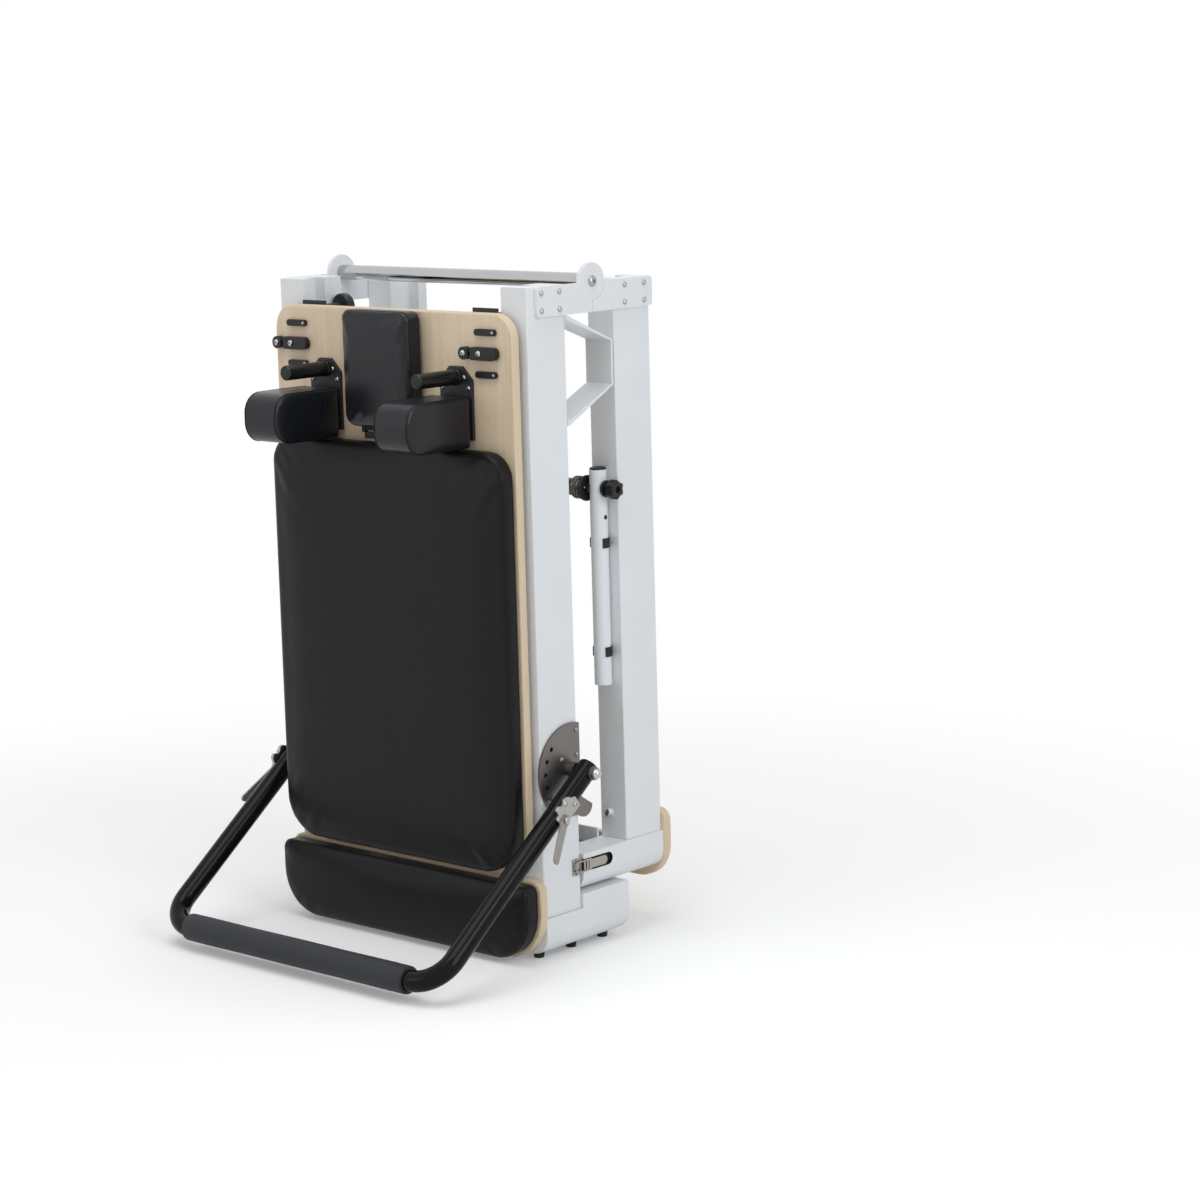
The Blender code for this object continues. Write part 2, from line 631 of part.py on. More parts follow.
def head_frame(mat, parent):
    outline = [(HEAD_LEG_END, HEAD_LEG_BOTTOM), (HEAD_BACK, HEAD_LEG_BOTTOM),
               (HEAD_BACK, HEAD_LEG_TOP), (HEAD_LEG_END, HEAD_LEG_TOP)]
    item = legs("head_frame", outline, HEAD_LEG_BOTTOM, mat, parent)
    reach = RAIL_IN + SINK
    rear = HEAD_FRONT - TRAY_AIR
    near = rear - TRAY_DEPTH
    wall = TRAY_WALL
    tray = bmesh.new()
    outline = [(near, TRAY_LOW), (rear, TRAY_LOW), (rear, TRAY_HIGH), (rear - wall, TRAY_HIGH),
               (rear - wall, TRAY_LOW + wall), (near + wall, TRAY_LOW + wall),
               (near + wall, TRAY_HIGH), (near, TRAY_HIGH)]
    prism(tray, outline, "X", -reach, reach)
    weld(item, "tray", tray)
    half = LATCH_HEIGHT / 2 + RUN
    pads, slots, bases = bmesh.new(), bmesh.new(), bmesh.new()
    open_end = HEAD_LEG_END - LATCH_HEIGHT
    outline = [(open_end, LATCH_MIDDLE - half)]
    outline += arc((LATCH_PIVOT_Y, LATCH_MIDDLE), half, -90, 90, 8)
    outline += [(open_end, LATCH_MIDDLE + half)]
    floor = LEG_OUT - SLOT_DEPTH
    half = LATCH_HEIGHT / 2 - RUN
    for side in SIDES.values():
        rod(pads, "Y", side * LEG_MIDDLE, LATCH_MIDDLE - RAIL_EDGE, PAD_RADIUS,
            HEAD_LEG_END - PAD_THICK, HEAD_LEG_END + SINK)
        prism(slots, outline, "X", *span(side, floor, LEG_OUT + SLOT_DEPTH))
        low, high = span(side, floor - SINK, LATCH_X - LATCH_PLATE / 2 - FIT)
        block(bases, (low, LATCH_PIVOT_Y - LATCH_HEIGHT, LATCH_MIDDLE - half),
              (high, LATCH_PIVOT_Y - SINK, LATCH_MIDDLE + half))
    weld(item, "pads", pads)
    cut(item, "latch_slots", slots)
    weld(item, "latch_bases", bases)
    return item


def foot_strip(word, mat, parent):
    """Rubber feet under one leg, moulded on a thin strip."""
    side = SIDES[word]
    x = side * (LEG_OUT - LEG_ROUND - FOOT_RADIUS - SINK)
    top = FOOT_HEIGHT - FIT
    bm = bmesh.new()
    front, rear = FOOT_RADIUS * 1.3, LEG_END - FOOT_RADIUS * 1.3
    block(bm, (x - STRIP_WIDTH / 2, front, top - STRIP_THICK), (x + STRIP_WIDTH / 2, rear, top))
    item = finish(f"foot_strip_{word}", bm, mat, parent)
    feet = bmesh.new()
    for y in (front + FOOT_RADIUS, LEG_END / 2, rear - FOOT_RADIUS):
        lathe(feet, "Z", x, y, [(FOOT_RADIUS * 0.85, 0), (FOOT_RADIUS, top - STRIP_THICK / 2)], 12)
    weld(item, "feet", feet)
    return item


def mid_foot(word, mat, parent):
    """A bent flat bar that stands on the floor under the fold in use."""
    side = SIDES[word]
    high = PIVOT_HEIGHT - MID_FOOT_TOP
    land_high = high - MID_FOOT_DROP
    land_low = land_high - MID_FOOT_LAND
    low = land_low - MID_FOOT_RISE
    near = RAIL_DEPTH + FIT
    plate = MID_FOOT_PLATE
    outline = [(near, high), (near + plate, high), (LEG_END, land_high), (LEG_END, land_low),
               (near + plate, low), (near, low), (near, low + MID_FOOT_TAB),
               (near + plate * 0.9, low + MID_FOOT_TAB * 0.6),
               (LEG_END - plate, land_low + plate * 0.2), (LEG_END - plate, land_high - plate * 0.2),
               (near + plate * 0.9, high - MID_FOOT_TAB * 0.6), (near, high - MID_FOOT_TAB)]
    bm = bmesh.new()
    prism(bm, outline, "X", *span(side, RAIL_IN, RAIL_OUT))
    item = finish(f"mid_foot_{word}", bm, mat, parent, smooth=20)
    pad = bmesh.new()
    rod(pad, "Y", side * LEG_MIDDLE, (land_high + land_low) / 2, PAD_RADIUS,
        LEG_END - SINK, LEG_END + PAD_THICK)
    weld(item, "pad", pad)
    return item


# Fold hinge

def hinge_leaf(half, word, mat, parent):
    """A leaf whose ear laps the other leaf's on the pivot, half as thick."""
    side = SIDES[word]
    low = PIVOT_HEIGHT - LEAF_HEIGHT
    if half == "foot":
        y0, y1 = LEAF_SETBACK, PIVOT_Y - RUN / 2
        radii = (LEAF_CORNER, 0, 0, LEAF_CORNER)
        own, other = (LEAF_MIDDLE + FIT / 2, LEAF_OUT), (LEAF_IN - SINK, LEAF_MIDDLE + FIT / 2)
        columns = (y0 + LEAF_SCREW_INSET, RAIL_DEPTH - 2 * LEAF_SCREW_INSET)
    else:
        y0, y1 = PIVOT_Y + RUN / 2, HEAD_BACK - FIT
        radii = (0, LEAF_CORNER, LEAF_CORNER, 0)
        own, other = (LEAF_IN, LEAF_MIDDLE - FIT / 2), (LEAF_MIDDLE - FIT / 2, LEAF_OUT + SINK)
        columns = (HEAD_FRONT + 2 * LEAF_SCREW_INSET, y1 - 2 * LEAF_SCREW_INSET)
    bm = bmesh.new()
    prism(bm, rounded(y0, y1, low, RAIL_TOP, radii, 3), "X", *span(side, LEAF_IN, LEAF_OUT))
    item = finish(f"hinge_leaf_{half}_{word}", bm, mat, parent)
    clear, ear, hole, heads = bmesh.new(), bmesh.new(), bmesh.new(), bmesh.new()
    rod(clear, "X", PIVOT_Y, PIVOT_HEIGHT, EAR_RADIUS + RUN, *span(side, *other), sides=24)
    rod(ear, "X", PIVOT_Y, PIVOT_HEIGHT, EAR_RADIUS, *span(side, *own), sides=24)
    rod(hole, "X", PIVOT_Y, PIVOT_HEIGHT, FOLD_BOLT_RADIUS + FIT,
        *span(side, LEAF_IN - SINK, LEAF_OUT + SINK), sides=12)
    for y in columns:
        for z in (low + LEAF_SCREW_INSET, RAIL_TOP - LEAF_SCREW_INSET):
            dome(heads, "X", y, z, SCREW_RADIUS, side * LEAF_OUT, side * SCREW_HEIGHT)
    cut(item, "clear", clear)
    weld(item, "ear", ear)
    cut(item, "hole", hole)
    weld(item, "screws", heads)
    return item


def fold_bar(mat, parent):
    """The round bar between the ears, with its bolts through them."""
    bar = RAIL_OUT - FIT
    head = LEAF_OUT + FIT
    profile = [(FOLD_HEAD_RADIUS * 0.6, -head - FOLD_HEAD_HEIGHT),
               (FOLD_HEAD_RADIUS, -head - FOLD_HEAD_HEIGHT * 0.4), (FOLD_HEAD_RADIUS, -head),
               (FOLD_BOLT_RADIUS, -head), (FOLD_BOLT_RADIUS, -bar), (FOLD_BAR_RADIUS, -bar)]
    profile += [(radius, -x) for radius, x in reversed(profile)]
    bm = bmesh.new()
    lathe(bm, "X", PIVOT_Y, PIVOT_HEIGHT, profile, 16)
    return finish("fold_bar", bm, mat, parent, origin=PIVOT)


# Platform and boards

def board(name, outline, face, back, mat, parent):
    bm = bmesh.new()
    prism(bm, outline, "Y", face, back)
    edges = [edge for edge in bm.edges if abs(edge.verts[0].co.y - edge.verts[1].co.y) < FIT]
    bmesh.ops.bevel(bm, geom=edges, offset=BOARD_EDGE, segments=1, affect="EDGES")
    return finish(name, bm, mat, parent)


def platform(wood, leather, parent):
    """The padded standing platform across the foot end."""
    half = PLATFORM_WIDTH / 2
    high, low = PLATFORM_CORNER_HIGH, PLATFORM_CORNER_LOW
    outline = rounded(-half, half, PLATFORM_BOTTOM, PLATFORM_TOP, (low, low, high, high), 7)
    board("platform_board", outline, -FIT - BOARD_THICK, -FIT, wood, parent)
    edge = PAD_MARGIN
    outline = rounded(-half + edge, half - edge, PLATFORM_BOTTOM + edge, PLATFORM_TOP - edge,
                      (low - edge, low - edge, high - edge, high - edge), 5, (6, 2))
    back = -FIT - BOARD_THICK - FIT
    bm = bmesh.new()
    padded(bm, outline, lambda u, v, w: Vector((u, back - w, v)), PLATFORM_PAD, SEAM_ROUND)
    finish("platform_cushion", bm, leather, parent)


def head_board(wood, parent):
    half = PLATFORM_WIDTH / 2
    high, low = PLATFORM_CORNER_HIGH, HEAD_BOARD_HEIGHT / 2
    top = HEAD_BOARD_BOTTOM + HEAD_BOARD_HEIGHT
    outline = rounded(-half, half, HEAD_BOARD_BOTTOM, top, (low, low, high, high), 7)
    reach, turn, floor = RAIL_IN - HEAD_NOTCH_INSET, HEAD_NOTCH_ROUND, top - HEAD_NOTCH_DEPTH
    cut_right = [(reach, top)] + arc((reach - turn, floor + turn), turn, 360, 270, 4)
    notch = cut_right + [(-x, z) for x, z in reversed(cut_right)]
    corner = [index for index, (x, z) in enumerate(outline) if x > 0 and top - z < FIT][-1]
    outline = outline[:corner + 1] + notch + outline[corner + 1:]
    back = HEAD_BACK + FIT
    board("head_board", outline, back, back + HEAD_BOARD_THICK, wood, parent)


# Footbar and its lock

def sector_plate(word, mat, parent):
    """Stainless plate with lock holes, and the stud that the arm turns on."""
    side = SIDES[word]
    start = 90 - math.degrees(math.asin(SECTOR_BACK / SECTOR_RADIUS))
    outline = arc((FOOTBAR_PIVOT_Y, FOOTBAR_PIVOT_Z), SECTOR_RADIUS, start, 360 - start, 22)
    bm = bmesh.new()
    prism(bm, outline, "X", *span(side, SECTOR_IN, SECTOR_OUT))
    item = finish(f"sector_plate_{word}", bm, mat, parent)
    middle = (FOOTBAR_PIVOT_Y + SECTOR_STOP_BACK, FOOTBAR_PIVOT_Z - SECTOR_STOP_DOWN)
    outline = arc(middle, SECTOR_STOP_RADIUS, 235, 360, 7)
    outline += [(FOOTBAR_PIVOT_Y + SECTOR_BACK / 2, middle[1] + SECTOR_STOP_RADIUS * 1.3),
                (FOOTBAR_PIVOT_Y + SECTOR_BACK / 7, middle[1] - SECTOR_STOP_RADIUS * 0.4)]
    stop = bmesh.new()
    prism(stop, outline, "X", *span(side, SECTOR_IN + FIT / 2, SECTOR_OUT - FIT / 2))
    holes, stud, screws = bmesh.new(), bmesh.new(), bmesh.new()
    for step in range(HOLE_COUNT):
        turn = math.pi + FOOTBAR_ANGLE - HOLE_STEP * step
        y = FOOTBAR_PIVOT_Y + HOLE_RING * math.cos(turn)
        z = FOOTBAR_PIVOT_Z + HOLE_RING * math.sin(turn)
        rod(holes, "X", y, z, HOLE_RADIUS, *span(side, SECTOR_IN - FIT / 2, SECTOR_OUT + SINK), sides=8)
    seat = ARM_OUT + RUN
    washer = seat + NUT_HEIGHT * 0.18
    profile = [(PIVOT_COLLAR, SECTOR_OUT - SINK), (PIVOT_COLLAR, ARM_IN - RUN),
               (PIVOT_BOLT, ARM_IN - RUN), (PIVOT_BOLT, seat), (NUT_RADIUS * 1.2, seat),
               (NUT_RADIUS * 1.2, washer), (NUT_RADIUS, washer),
               (NUT_RADIUS, seat + NUT_HEIGHT * 0.75), (NUT_RADIUS * 0.6, seat + NUT_HEIGHT)]
    lathe(stud, "X", FOOTBAR_PIVOT_Y, FOOTBAR_PIVOT_Z, [(r, side * x) for r, x in profile], 12)
    rear = SECTOR_BACK - SCREW_RADIUS * 1.6
    for y, z in ((rear, HOLE_RING), (rear, HOLE_RING * 0.36), (-PIVOT_COLLAR * 1.9, PIVOT_COLLAR * 1.6)):
        dome(screws, "X", FOOTBAR_PIVOT_Y + y, FOOTBAR_PIVOT_Z + z, SCREW_RADIUS,
             side * SECTOR_OUT, side * SCREW_HEIGHT)
    cut(item, "holes", holes)
    weld(item, "stop", stop)
    weld(item, "stud", stud)
    weld(item, "screws", screws)
    return item


def footbar_path():
    """Middle line of the bar: up one arm, across and down the other."""
    across = Vector((1, 0, 0))
    bend = GRIP_AXIS - ARM_WAY * FOOTBAR_BEND
    points = [FOOTBAR_PIVOT - ARM_WAY * FOOTBAR_TAIL - across * ARM_X]
    for step in range(6):
        turn = math.pi / 2 * step / 5
        points.append(bend + ARM_WAY * FOOTBAR_BEND * math.sin(turn)
                      - across * (ARM_X - FOOTBAR_BEND * (1 - math.cos(turn))))
    return points + [Vector((-p.x, p.y, p.z)) for p in reversed(points)]


def sweep(bm, path, radius, sides):
    """A round bar along a path that lies in the footbar's plane."""
    normal = Vector((1, 0, 0)).cross(ARM_WAY).normalized()
    rings = []
    for index, place in enumerate(path):
        before = path[max(index - 1, 0)]
        after = path[min(index + 1, len(path) - 1)]
        one = (after - before).cross(normal).normalized()
        rings.append([bm.verts.new(place + (one * c + normal * s) * radius)
                      for c, s in circle(sides)])
    bridge(bm, rings)


def on_arm(along, below):
    """A point in the side view, from its place along the arm and below it."""
    spot = FOOTBAR_PIVOT + ARM_WAY * along + ARM_BELOW * below
    return (spot.y, spot.z)


def footbar(paint, foam, parent):
    bm = bmesh.new()
    sweep(bm, footbar_path(), FOOTBAR_RADIUS, 12)
    bar = finish("footbar_tube", bm, paint, parent)
    holes, plates, pins = bmesh.new(), bmesh.new(), bmesh.new()
    first, last = HOLE_RING - PIVOT_COLLAR, LEVER_ALONG + PIVOT_COLLAR
    low, high = FOOTBAR_RADIUS * 0.75, -FOOTBAR_RADIUS * 1.5
    outline = [(first, low), (last, low), (last, high * 0.3), (LEVER_ALONG, high),
               (HOLE_RING + LOCK_PIN, high), (first, high * 0.4)]
    outline = [on_arm(along, below) for along, below in outline]
    lever_y, lever_z = on_arm(LEVER_ALONG, LEVER_BELOW)
    for side in SIDES.values():
        rod(holes, "X", FOOTBAR_PIVOT_Y, FOOTBAR_PIVOT_Z, PIVOT_BOLT + FIT,
            *span(side, ARM_IN - SINK, ARM_OUT + SINK), sides=12)
        prism(plates, outline, "X", *span(side, ARM_OUT - 2 * SINK, LOCK_OUT))
        rod(pins, "X", *on_arm(HOLE_RING, 0), LOCK_PIN,
            *span(side, SECTOR_OUT + LOCK_CLEAR, ARM_IN + FOOTBAR_RADIUS), sides=8)
        dome(pins, "X", *on_arm(HOLE_RING, LOCK_PIN), SCREW_RADIUS, side * LOCK_OUT, side * SCREW_HEIGHT)
        dome(pins, "X", *on_arm((HOLE_RING + LEVER_ALONG) / 2, high * 0.7), SCREW_RADIUS,
             side * LOCK_OUT, side * SCREW_HEIGHT)
        head = LOCK_OUT + FIT + LEVER_THICK + FIT
        profile = [(LEVER_BOLT, LOCK_OUT - SINK), (LEVER_BOLT, head), (LEVER_BOLT * 1.6, head),
                   (LEVER_BOLT * 1.6, head + SCREW_HEIGHT * 0.6), (LEVER_BOLT, head + SCREW_HEIGHT)]
        lathe(pins, "X", lever_y, lever_z, [(r, side * x) for r, x in profile], 8)
    cut(bar, "pivot_holes", holes)
    weld(bar, "plates", plates)
    weld(bar, "pins", pins)
    half = ARM_X - FOOTBAR_BEND - GRIP_SHORT
    bore = FOOTBAR_RADIUS + FIT
    soft = (GRIP_RADIUS - bore) / 2
    profile = [(bore, -half), (bore + soft, -half), (GRIP_RADIUS, -half + soft),
               (GRIP_RADIUS, half - soft), (bore + soft, half), (bore, half)]
    bm = bmesh.new()
    lathe(bm, "X", GRIP_AXIS.y, GRIP_AXIS.z, profile, 20, closed=True)
    finish("footbar_grip", bm, foam, parent, origin=GRIP_AXIS)


def lock_lever(word, mat, parent):
    """The hand lever that frees one arm's lock pin."""
    side = SIDES[word]
    pivot = on_arm(LEVER_ALONG, LEVER_BELOW)
    hub = empty(f"lock_lever_{word}_axis", (side * ARM_X, *pivot), parent)
    way = math.radians(LEVER_ANGLE)
    tip = (pivot[0] + LEVER_LENGTH * math.cos(way), pivot[1] + LEVER_LENGTH * math.sin(way))
    run, across = (math.cos(way), math.sin(way)), (-math.sin(way), math.cos(way))

    def spot(out, aside):
        return (pivot[0] + out * run[0] + aside * across[0],
                pivot[1] + out * run[1] + aside * across[1])

    near, half = LOCK_OUT + FIT, LEVER_WIDTH / 2
    outline = arc(pivot, half, LEVER_ANGLE + 90, LEVER_ANGLE + 270, 8)
    outline += [spot(LEVER_BEND, -half), spot(LEVER_BEND, half)]
    bm = bmesh.new()
    prism(bm, outline, "X", *span(side, near, near + LEVER_THICK))
    item = finish(f"lock_lever_{word}", bm, mat, hub)
    root, half = LEVER_BEND - LEVER_THICK, half - FIT
    outline = [spot(root, half), spot(root, -half)]
    outline += arc(tip, LEVER_WIDTH * 0.42, LEVER_ANGLE - 90, LEVER_ANGLE + 90, 8)
    blade = bmesh.new()
    prism(blade, outline, "X", *span(side, near, near + LEVER_THICK))
    for vertex in blade.verts:
        out = (vertex.co.y - pivot[0]) * run[0] + (vertex.co.z - pivot[1]) * run[1] - root
        vertex.co.x += side * (2 * FIT + LEVER_SPLAY * out / (LEVER_LENGTH - root))
    weld(item, "blade", blade)
    hole = bmesh.new()
    rod(hole, "X", *pivot, LEVER_BOLT + FIT, *span(side, near - SINK, near + LEVER_THICK + SINK),
        sides=12)
    cut(item, "hole", hole)
    return item


# Risers, their ropes and the latch

def riser(word, mat, parent):
    """A stored rope riser, with its cap and the reel on its inner side."""
    side = SIDES[word]
    bm = bmesh.new()
    rod(bm, "Z", side * RISER_X, RISER_Y, RISER_RADIUS, RISER_BOTTOM, RISER_TOP, 18)
    item = finish(f"riser_{word}", bm, mat, parent)
    bore, cap, reel = bmesh.new(), bmesh.new(), bmesh.new()
    rod(bore, "Z", side * RISER_X, RISER_Y, RISER_RADIUS - RISER_WALL,
        RISER_BOTTOM - SINK, RISER_TOP - RISER_CAP, 12)
    lathe(cap, "Z", side * RISER_X, RISER_Y,
          [(RISER_RADIUS * 0.97, RISER_TOP - SINK), (RISER_RADIUS * 0.97, RISER_TOP + RISER_CAP * 0.5),
           (RISER_RADIUS * 0.75, RISER_TOP + RISER_CAP)], 12)
    profile = [(SPOOL_CORE, RISER_X - RISER_RADIUS * 0.6), (SPOOL_CORE, SPOOL_OUT),
               (SPOOL_RADIUS, SPOOL_OUT), (SPOOL_RADIUS, SPOOL_OUT - FLANGE),
               (SPOOL_CORE, SPOOL_OUT - FLANGE), (SPOOL_CORE, SPOOL_IN + FLANGE),
               (SPOOL_RADIUS, SPOOL_IN + FLANGE), (SPOOL_RADIUS, SPOOL_IN)]
    lathe(reel, "X", SPOOL_Y, KNOB_Z, [(r, side * x) for r, x in profile], 16)
    cut(item, "bore", bore)
    weld(item, "cap", cap)
    weld(item, "reel", reel)
    return item


def rope_winding(word, mat, parent):
    """The rope in one layer of turns round its reel."""
    side = SIDES[word]
    start = SPOOL_OUT - FLANGE - ROPE_RADIUS - FIT
    end = SPOOL_IN + FLANGE + ROPE_RADIUS + FIT
    pitch = (start - end) / ROPE_LOOPS
    print("rope winding, least gap between turns in mm:", round((pitch - 2 * ROPE_RADIUS) * 1000, 2))
    ring = (SPOOL_CORE + FIT + ROPE_RADIUS) / math.cos(math.pi / LOOP_POINTS)
    run = []
    for step in range(ROPE_LOOPS * LOOP_POINTS + 1):
        turn = 2 * math.pi * step / LOOP_POINTS
        x = start - pitch * step / LOOP_POINTS
        run.append((side * x, SPOOL_Y + ring * math.cos(turn), KNOB_Z + ring * math.sin(turn)))
    return tube(f"rope_winding_{word}", run, ROPE_RADIUS, mat, parent)


def riser_clip(word, level, mat, parent):
    """An open spring clip on the underside of a head rail."""
    x = SIDES[word] * RISER_X
    z = RISER_BOTTOM + CLIP_LOW + (CLIP_PITCH if level == "high" else 0)
    steps = 10
    outer = RISER_RADIUS + FIT + CLIP_WALL
    inner = (RISER_RADIUS + FIT) / math.cos(math.radians(240 / steps / 2))
    middle = (x, RISER_Y)
    outline = arc(middle, outer, -30, 210, steps) + arc(middle, inner, 210, -30, steps)
    bm = bmesh.new()
    prism(bm, outline, "Z", z - CLIP_HEIGHT / 2, z + CLIP_HEIGHT / 2)
    return finish(f"riser_clip_{level}_{word}", bm, mat, parent)


def star_knob(word, mat, parent):
    """A lobed hand screw in the side of a riser."""
    side = SIDES[word]
    hub = empty(f"star_knob_{word}_axis", (side * KNOB_IN, RISER_Y, KNOB_Z), parent)
    collar = KNOB_IN + COLLAR_LENGTH
    head = collar + STEM_LENGTH
    lobes = 6
    outline = []
    for step in range(lobes * 4):
        turn = 2 * math.pi * step / (lobes * 4)
        radius = KNOB_RADIUS * (0.88 + 0.12 * math.cos(lobes * turn))
        outline.append((RISER_Y + radius * math.cos(turn), KNOB_Z + radius * math.sin(turn)))
    bm = bmesh.new()
    prism(bm, outline, "X", *span(side, head, head + KNOB_LENGTH))
    item = finish(f"star_knob_{word}", bm, mat, hub)
    stem = bmesh.new()
    profile = [(COLLAR_RADIUS, KNOB_IN), (COLLAR_RADIUS, collar), (STEM_RADIUS, collar),
               (STEM_RADIUS, head + SINK)]
    lathe(stem, "X", RISER_Y, KNOB_Z, [(r, side * x) for r, x in profile], 12)
    weld(item, "stem", stem)
    return item


def latch_lever(word, mat, parent):
    """The over-centre lever, with the wire hook that draws the halves together."""
    side = SIDES[word]
    hub = empty(f"latch_lever_{word}_axis", (side * LATCH_X, LATCH_PIVOT_Y, LATCH_MIDDLE), parent)
    half = LATCH_HEIGHT / 2 - RUN
    near, far = LATCH_X - LATCH_PLATE / 2, LATCH_X + LATCH_PLATE / 2
    end = LATCH_PIVOT_Y - LATCH_LENGTH
    bm = bmesh.new()
    low, high = span(side, near, far)
    block(bm, (low, end, LATCH_MIDDLE - half), (high, LATCH_PIVOT_Y, LATCH_MIDDLE + half))
    item = finish(f"latch_lever_{word}", bm, mat, hub)
    hook = bmesh.new()
    start = end + HOOK_LAP
    stop = start - HOOK_LENGTH
    inner = half - HOOK_WIRE
    outline = [(start, -half), (stop, -half), (stop, half), (start, half), (start, inner),
               (stop + HOOK_WIRE, inner), (stop + HOOK_WIRE, -inner), (start, -inner)]
    outline = [(y, LATCH_MIDDLE + z) for y, z in outline]
    prism(hook, outline, "X", *span(side, far - SINK, far + HOOK_WIRE))
    weld(item, "hook", hook)
    return item


# Carriage

def bolt_places(word):
    """Where the bolts of one side's rope fittings go through the board."""
    x = SIDES[word] * FITTING_SPAN / 2
    jaw = x + CLEAT_SHIFT
    return [(x, GUIDE_HIGH), (jaw, CLEAT_Z), (jaw + CLEAT_PITCH, CLEAT_Z), (x, GUIDE_LOW)]


def carriage_board(wood, parent):
    half = CARRIAGE_WIDTH / 2
    high, low = CARRIAGE_CORNER_HIGH, CARRIAGE_CORNER_LOW
    outline = rounded(-half, half, BOARD_LOW, BOARD_HIGH, (low, low, high, high), 6)
    item = board("carriage_board", outline, BOARD_FACE, BOARD_BACK, wood, parent)
    holes = bmesh.new()
    for word in SIDES:
        for x, z in bolt_places(word):
            rod(holes, "Y", x, z, FITTING_BOLT + FIT, BOARD_FACE - SINK, BOARD_BACK + SINK, 8)
    cut(item, "bolt_holes", holes)
    return item


def carriage_cushion(leather, parent):
    half = CARRIAGE_WIDTH / 2 - PAD_MARGIN
    low, high = CARRIAGE_CORNER_LOW - PAD_MARGIN, CARRIAGE_PAD_CORNER
    outline = rounded(-half, half, PAD_LOW, PAD_HIGH, (low, low, high, high), 6, (5, 6))
    bm = bmesh.new()
    padded(bm, outline, lambda u, v, w: Vector((u, FACE - w, v)), CARRIAGE_PAD, SEAM_ROUND)
    return finish("carriage_cushion", bm, leather, parent)


def headrest_hinge(mat, parent):
    """The fixed leaf on the board, with its lugs and pin."""
    y, z = HEADREST_AXIS.y, HEADREST_AXIS.z
    half = HEADREST_WIDTH / 2 - HEADREST_CORNER_LOW / 2
    knuckle = HEADREST_PIN + RUN
    bm = bmesh.new()
    top = z - HEADREST_BASE / 2 - knuckle
    block(bm, (-half, FACE - HEADREST_BASE / 2, top - HINGE_LEAF), (half, FACE, top))
    item = finish("headrest_hinge", bm, mat, parent)
    lugs, pin = bmesh.new(), bmesh.new()
    for side in SIDES.values():
        low, high = span(side, half - HINGE_LUG, half)
        block(lugs, (low, y - knuckle - SINK, top - SINK), (high, FACE, z + knuckle + SINK))
    rod(pin, "X", y, z, HEADREST_PIN / 2, -half + SINK, half - SINK, 10)
    weld(item, "lugs", lugs)
    weld(item, "lug_leaf", hinge_web(half, top))
    weld(item, "pin", pin)
    return item


def hinge_web(half, top):
    """Two short webs between the leaf and its lugs."""
    bm = bmesh.new()
    for side in SIDES.values():
        low, high = span(side, half - HINGE_LUG + SINK / 2, half - SINK / 2)
        block(bm, (low, FACE - HEADREST_BASE / 2 + SINK / 2, top - HINGE_LUG), (high, FACE - FIT, top))
    return bm


def headrest(steel, leather, parent):
    """A plate on the hinge pin with its cushion, which tips up at the head end."""
    hub = empty("headrest_axis", HEADREST_AXIS, parent)
    y, z = HEADREST_AXIS.y, HEADREST_AXIS.z
    half = HEADREST_WIDTH / 2 - HEADREST_CORNER_LOW / 2 - HINGE_LUG - RUN
    knuckle = HEADREST_PIN
    front = y - HEADREST_BASE / 2
    back = y + HEADREST_BASE / 2
    top = z + HEADREST_HEIGHT - HEADREST_CORNER_HIGH
    outline = arc((y, z), knuckle, 130, 410, 10)
    outline = [(front, z + knuckle)] + outline[1:-1] + [(back, z + knuckle), (back, top), (front, top)]
    bm = bmesh.new()
    prism(bm, outline, "X", -half, half)
    item = finish("headrest_base", bm, steel, hub)
    hole = bmesh.new()
    rod(hole, "X", y, z, HEADREST_PIN / 2 + FIT, -half - SINK, half + SINK, 10)
    cut(item, "pin_hole", hole)
    half = HEADREST_WIDTH / 2
    low = z + knuckle + SINK + HEADREST_PIN
    outline = rounded(-half, half, low, z + HEADREST_HEIGHT,
                      (HEADREST_CORNER_LOW,) * 2 + (HEADREST_CORNER_HIGH,) * 2, 4, (4, 4))
    seat = front - FIT
    bm = bmesh.new()
    padded(bm, outline, lambda u, v, w: Vector((u, seat - w, v)), HEADREST_PAD, SEAM_ROUND)
    finish("headrest_cushion", bm, leather, hub)


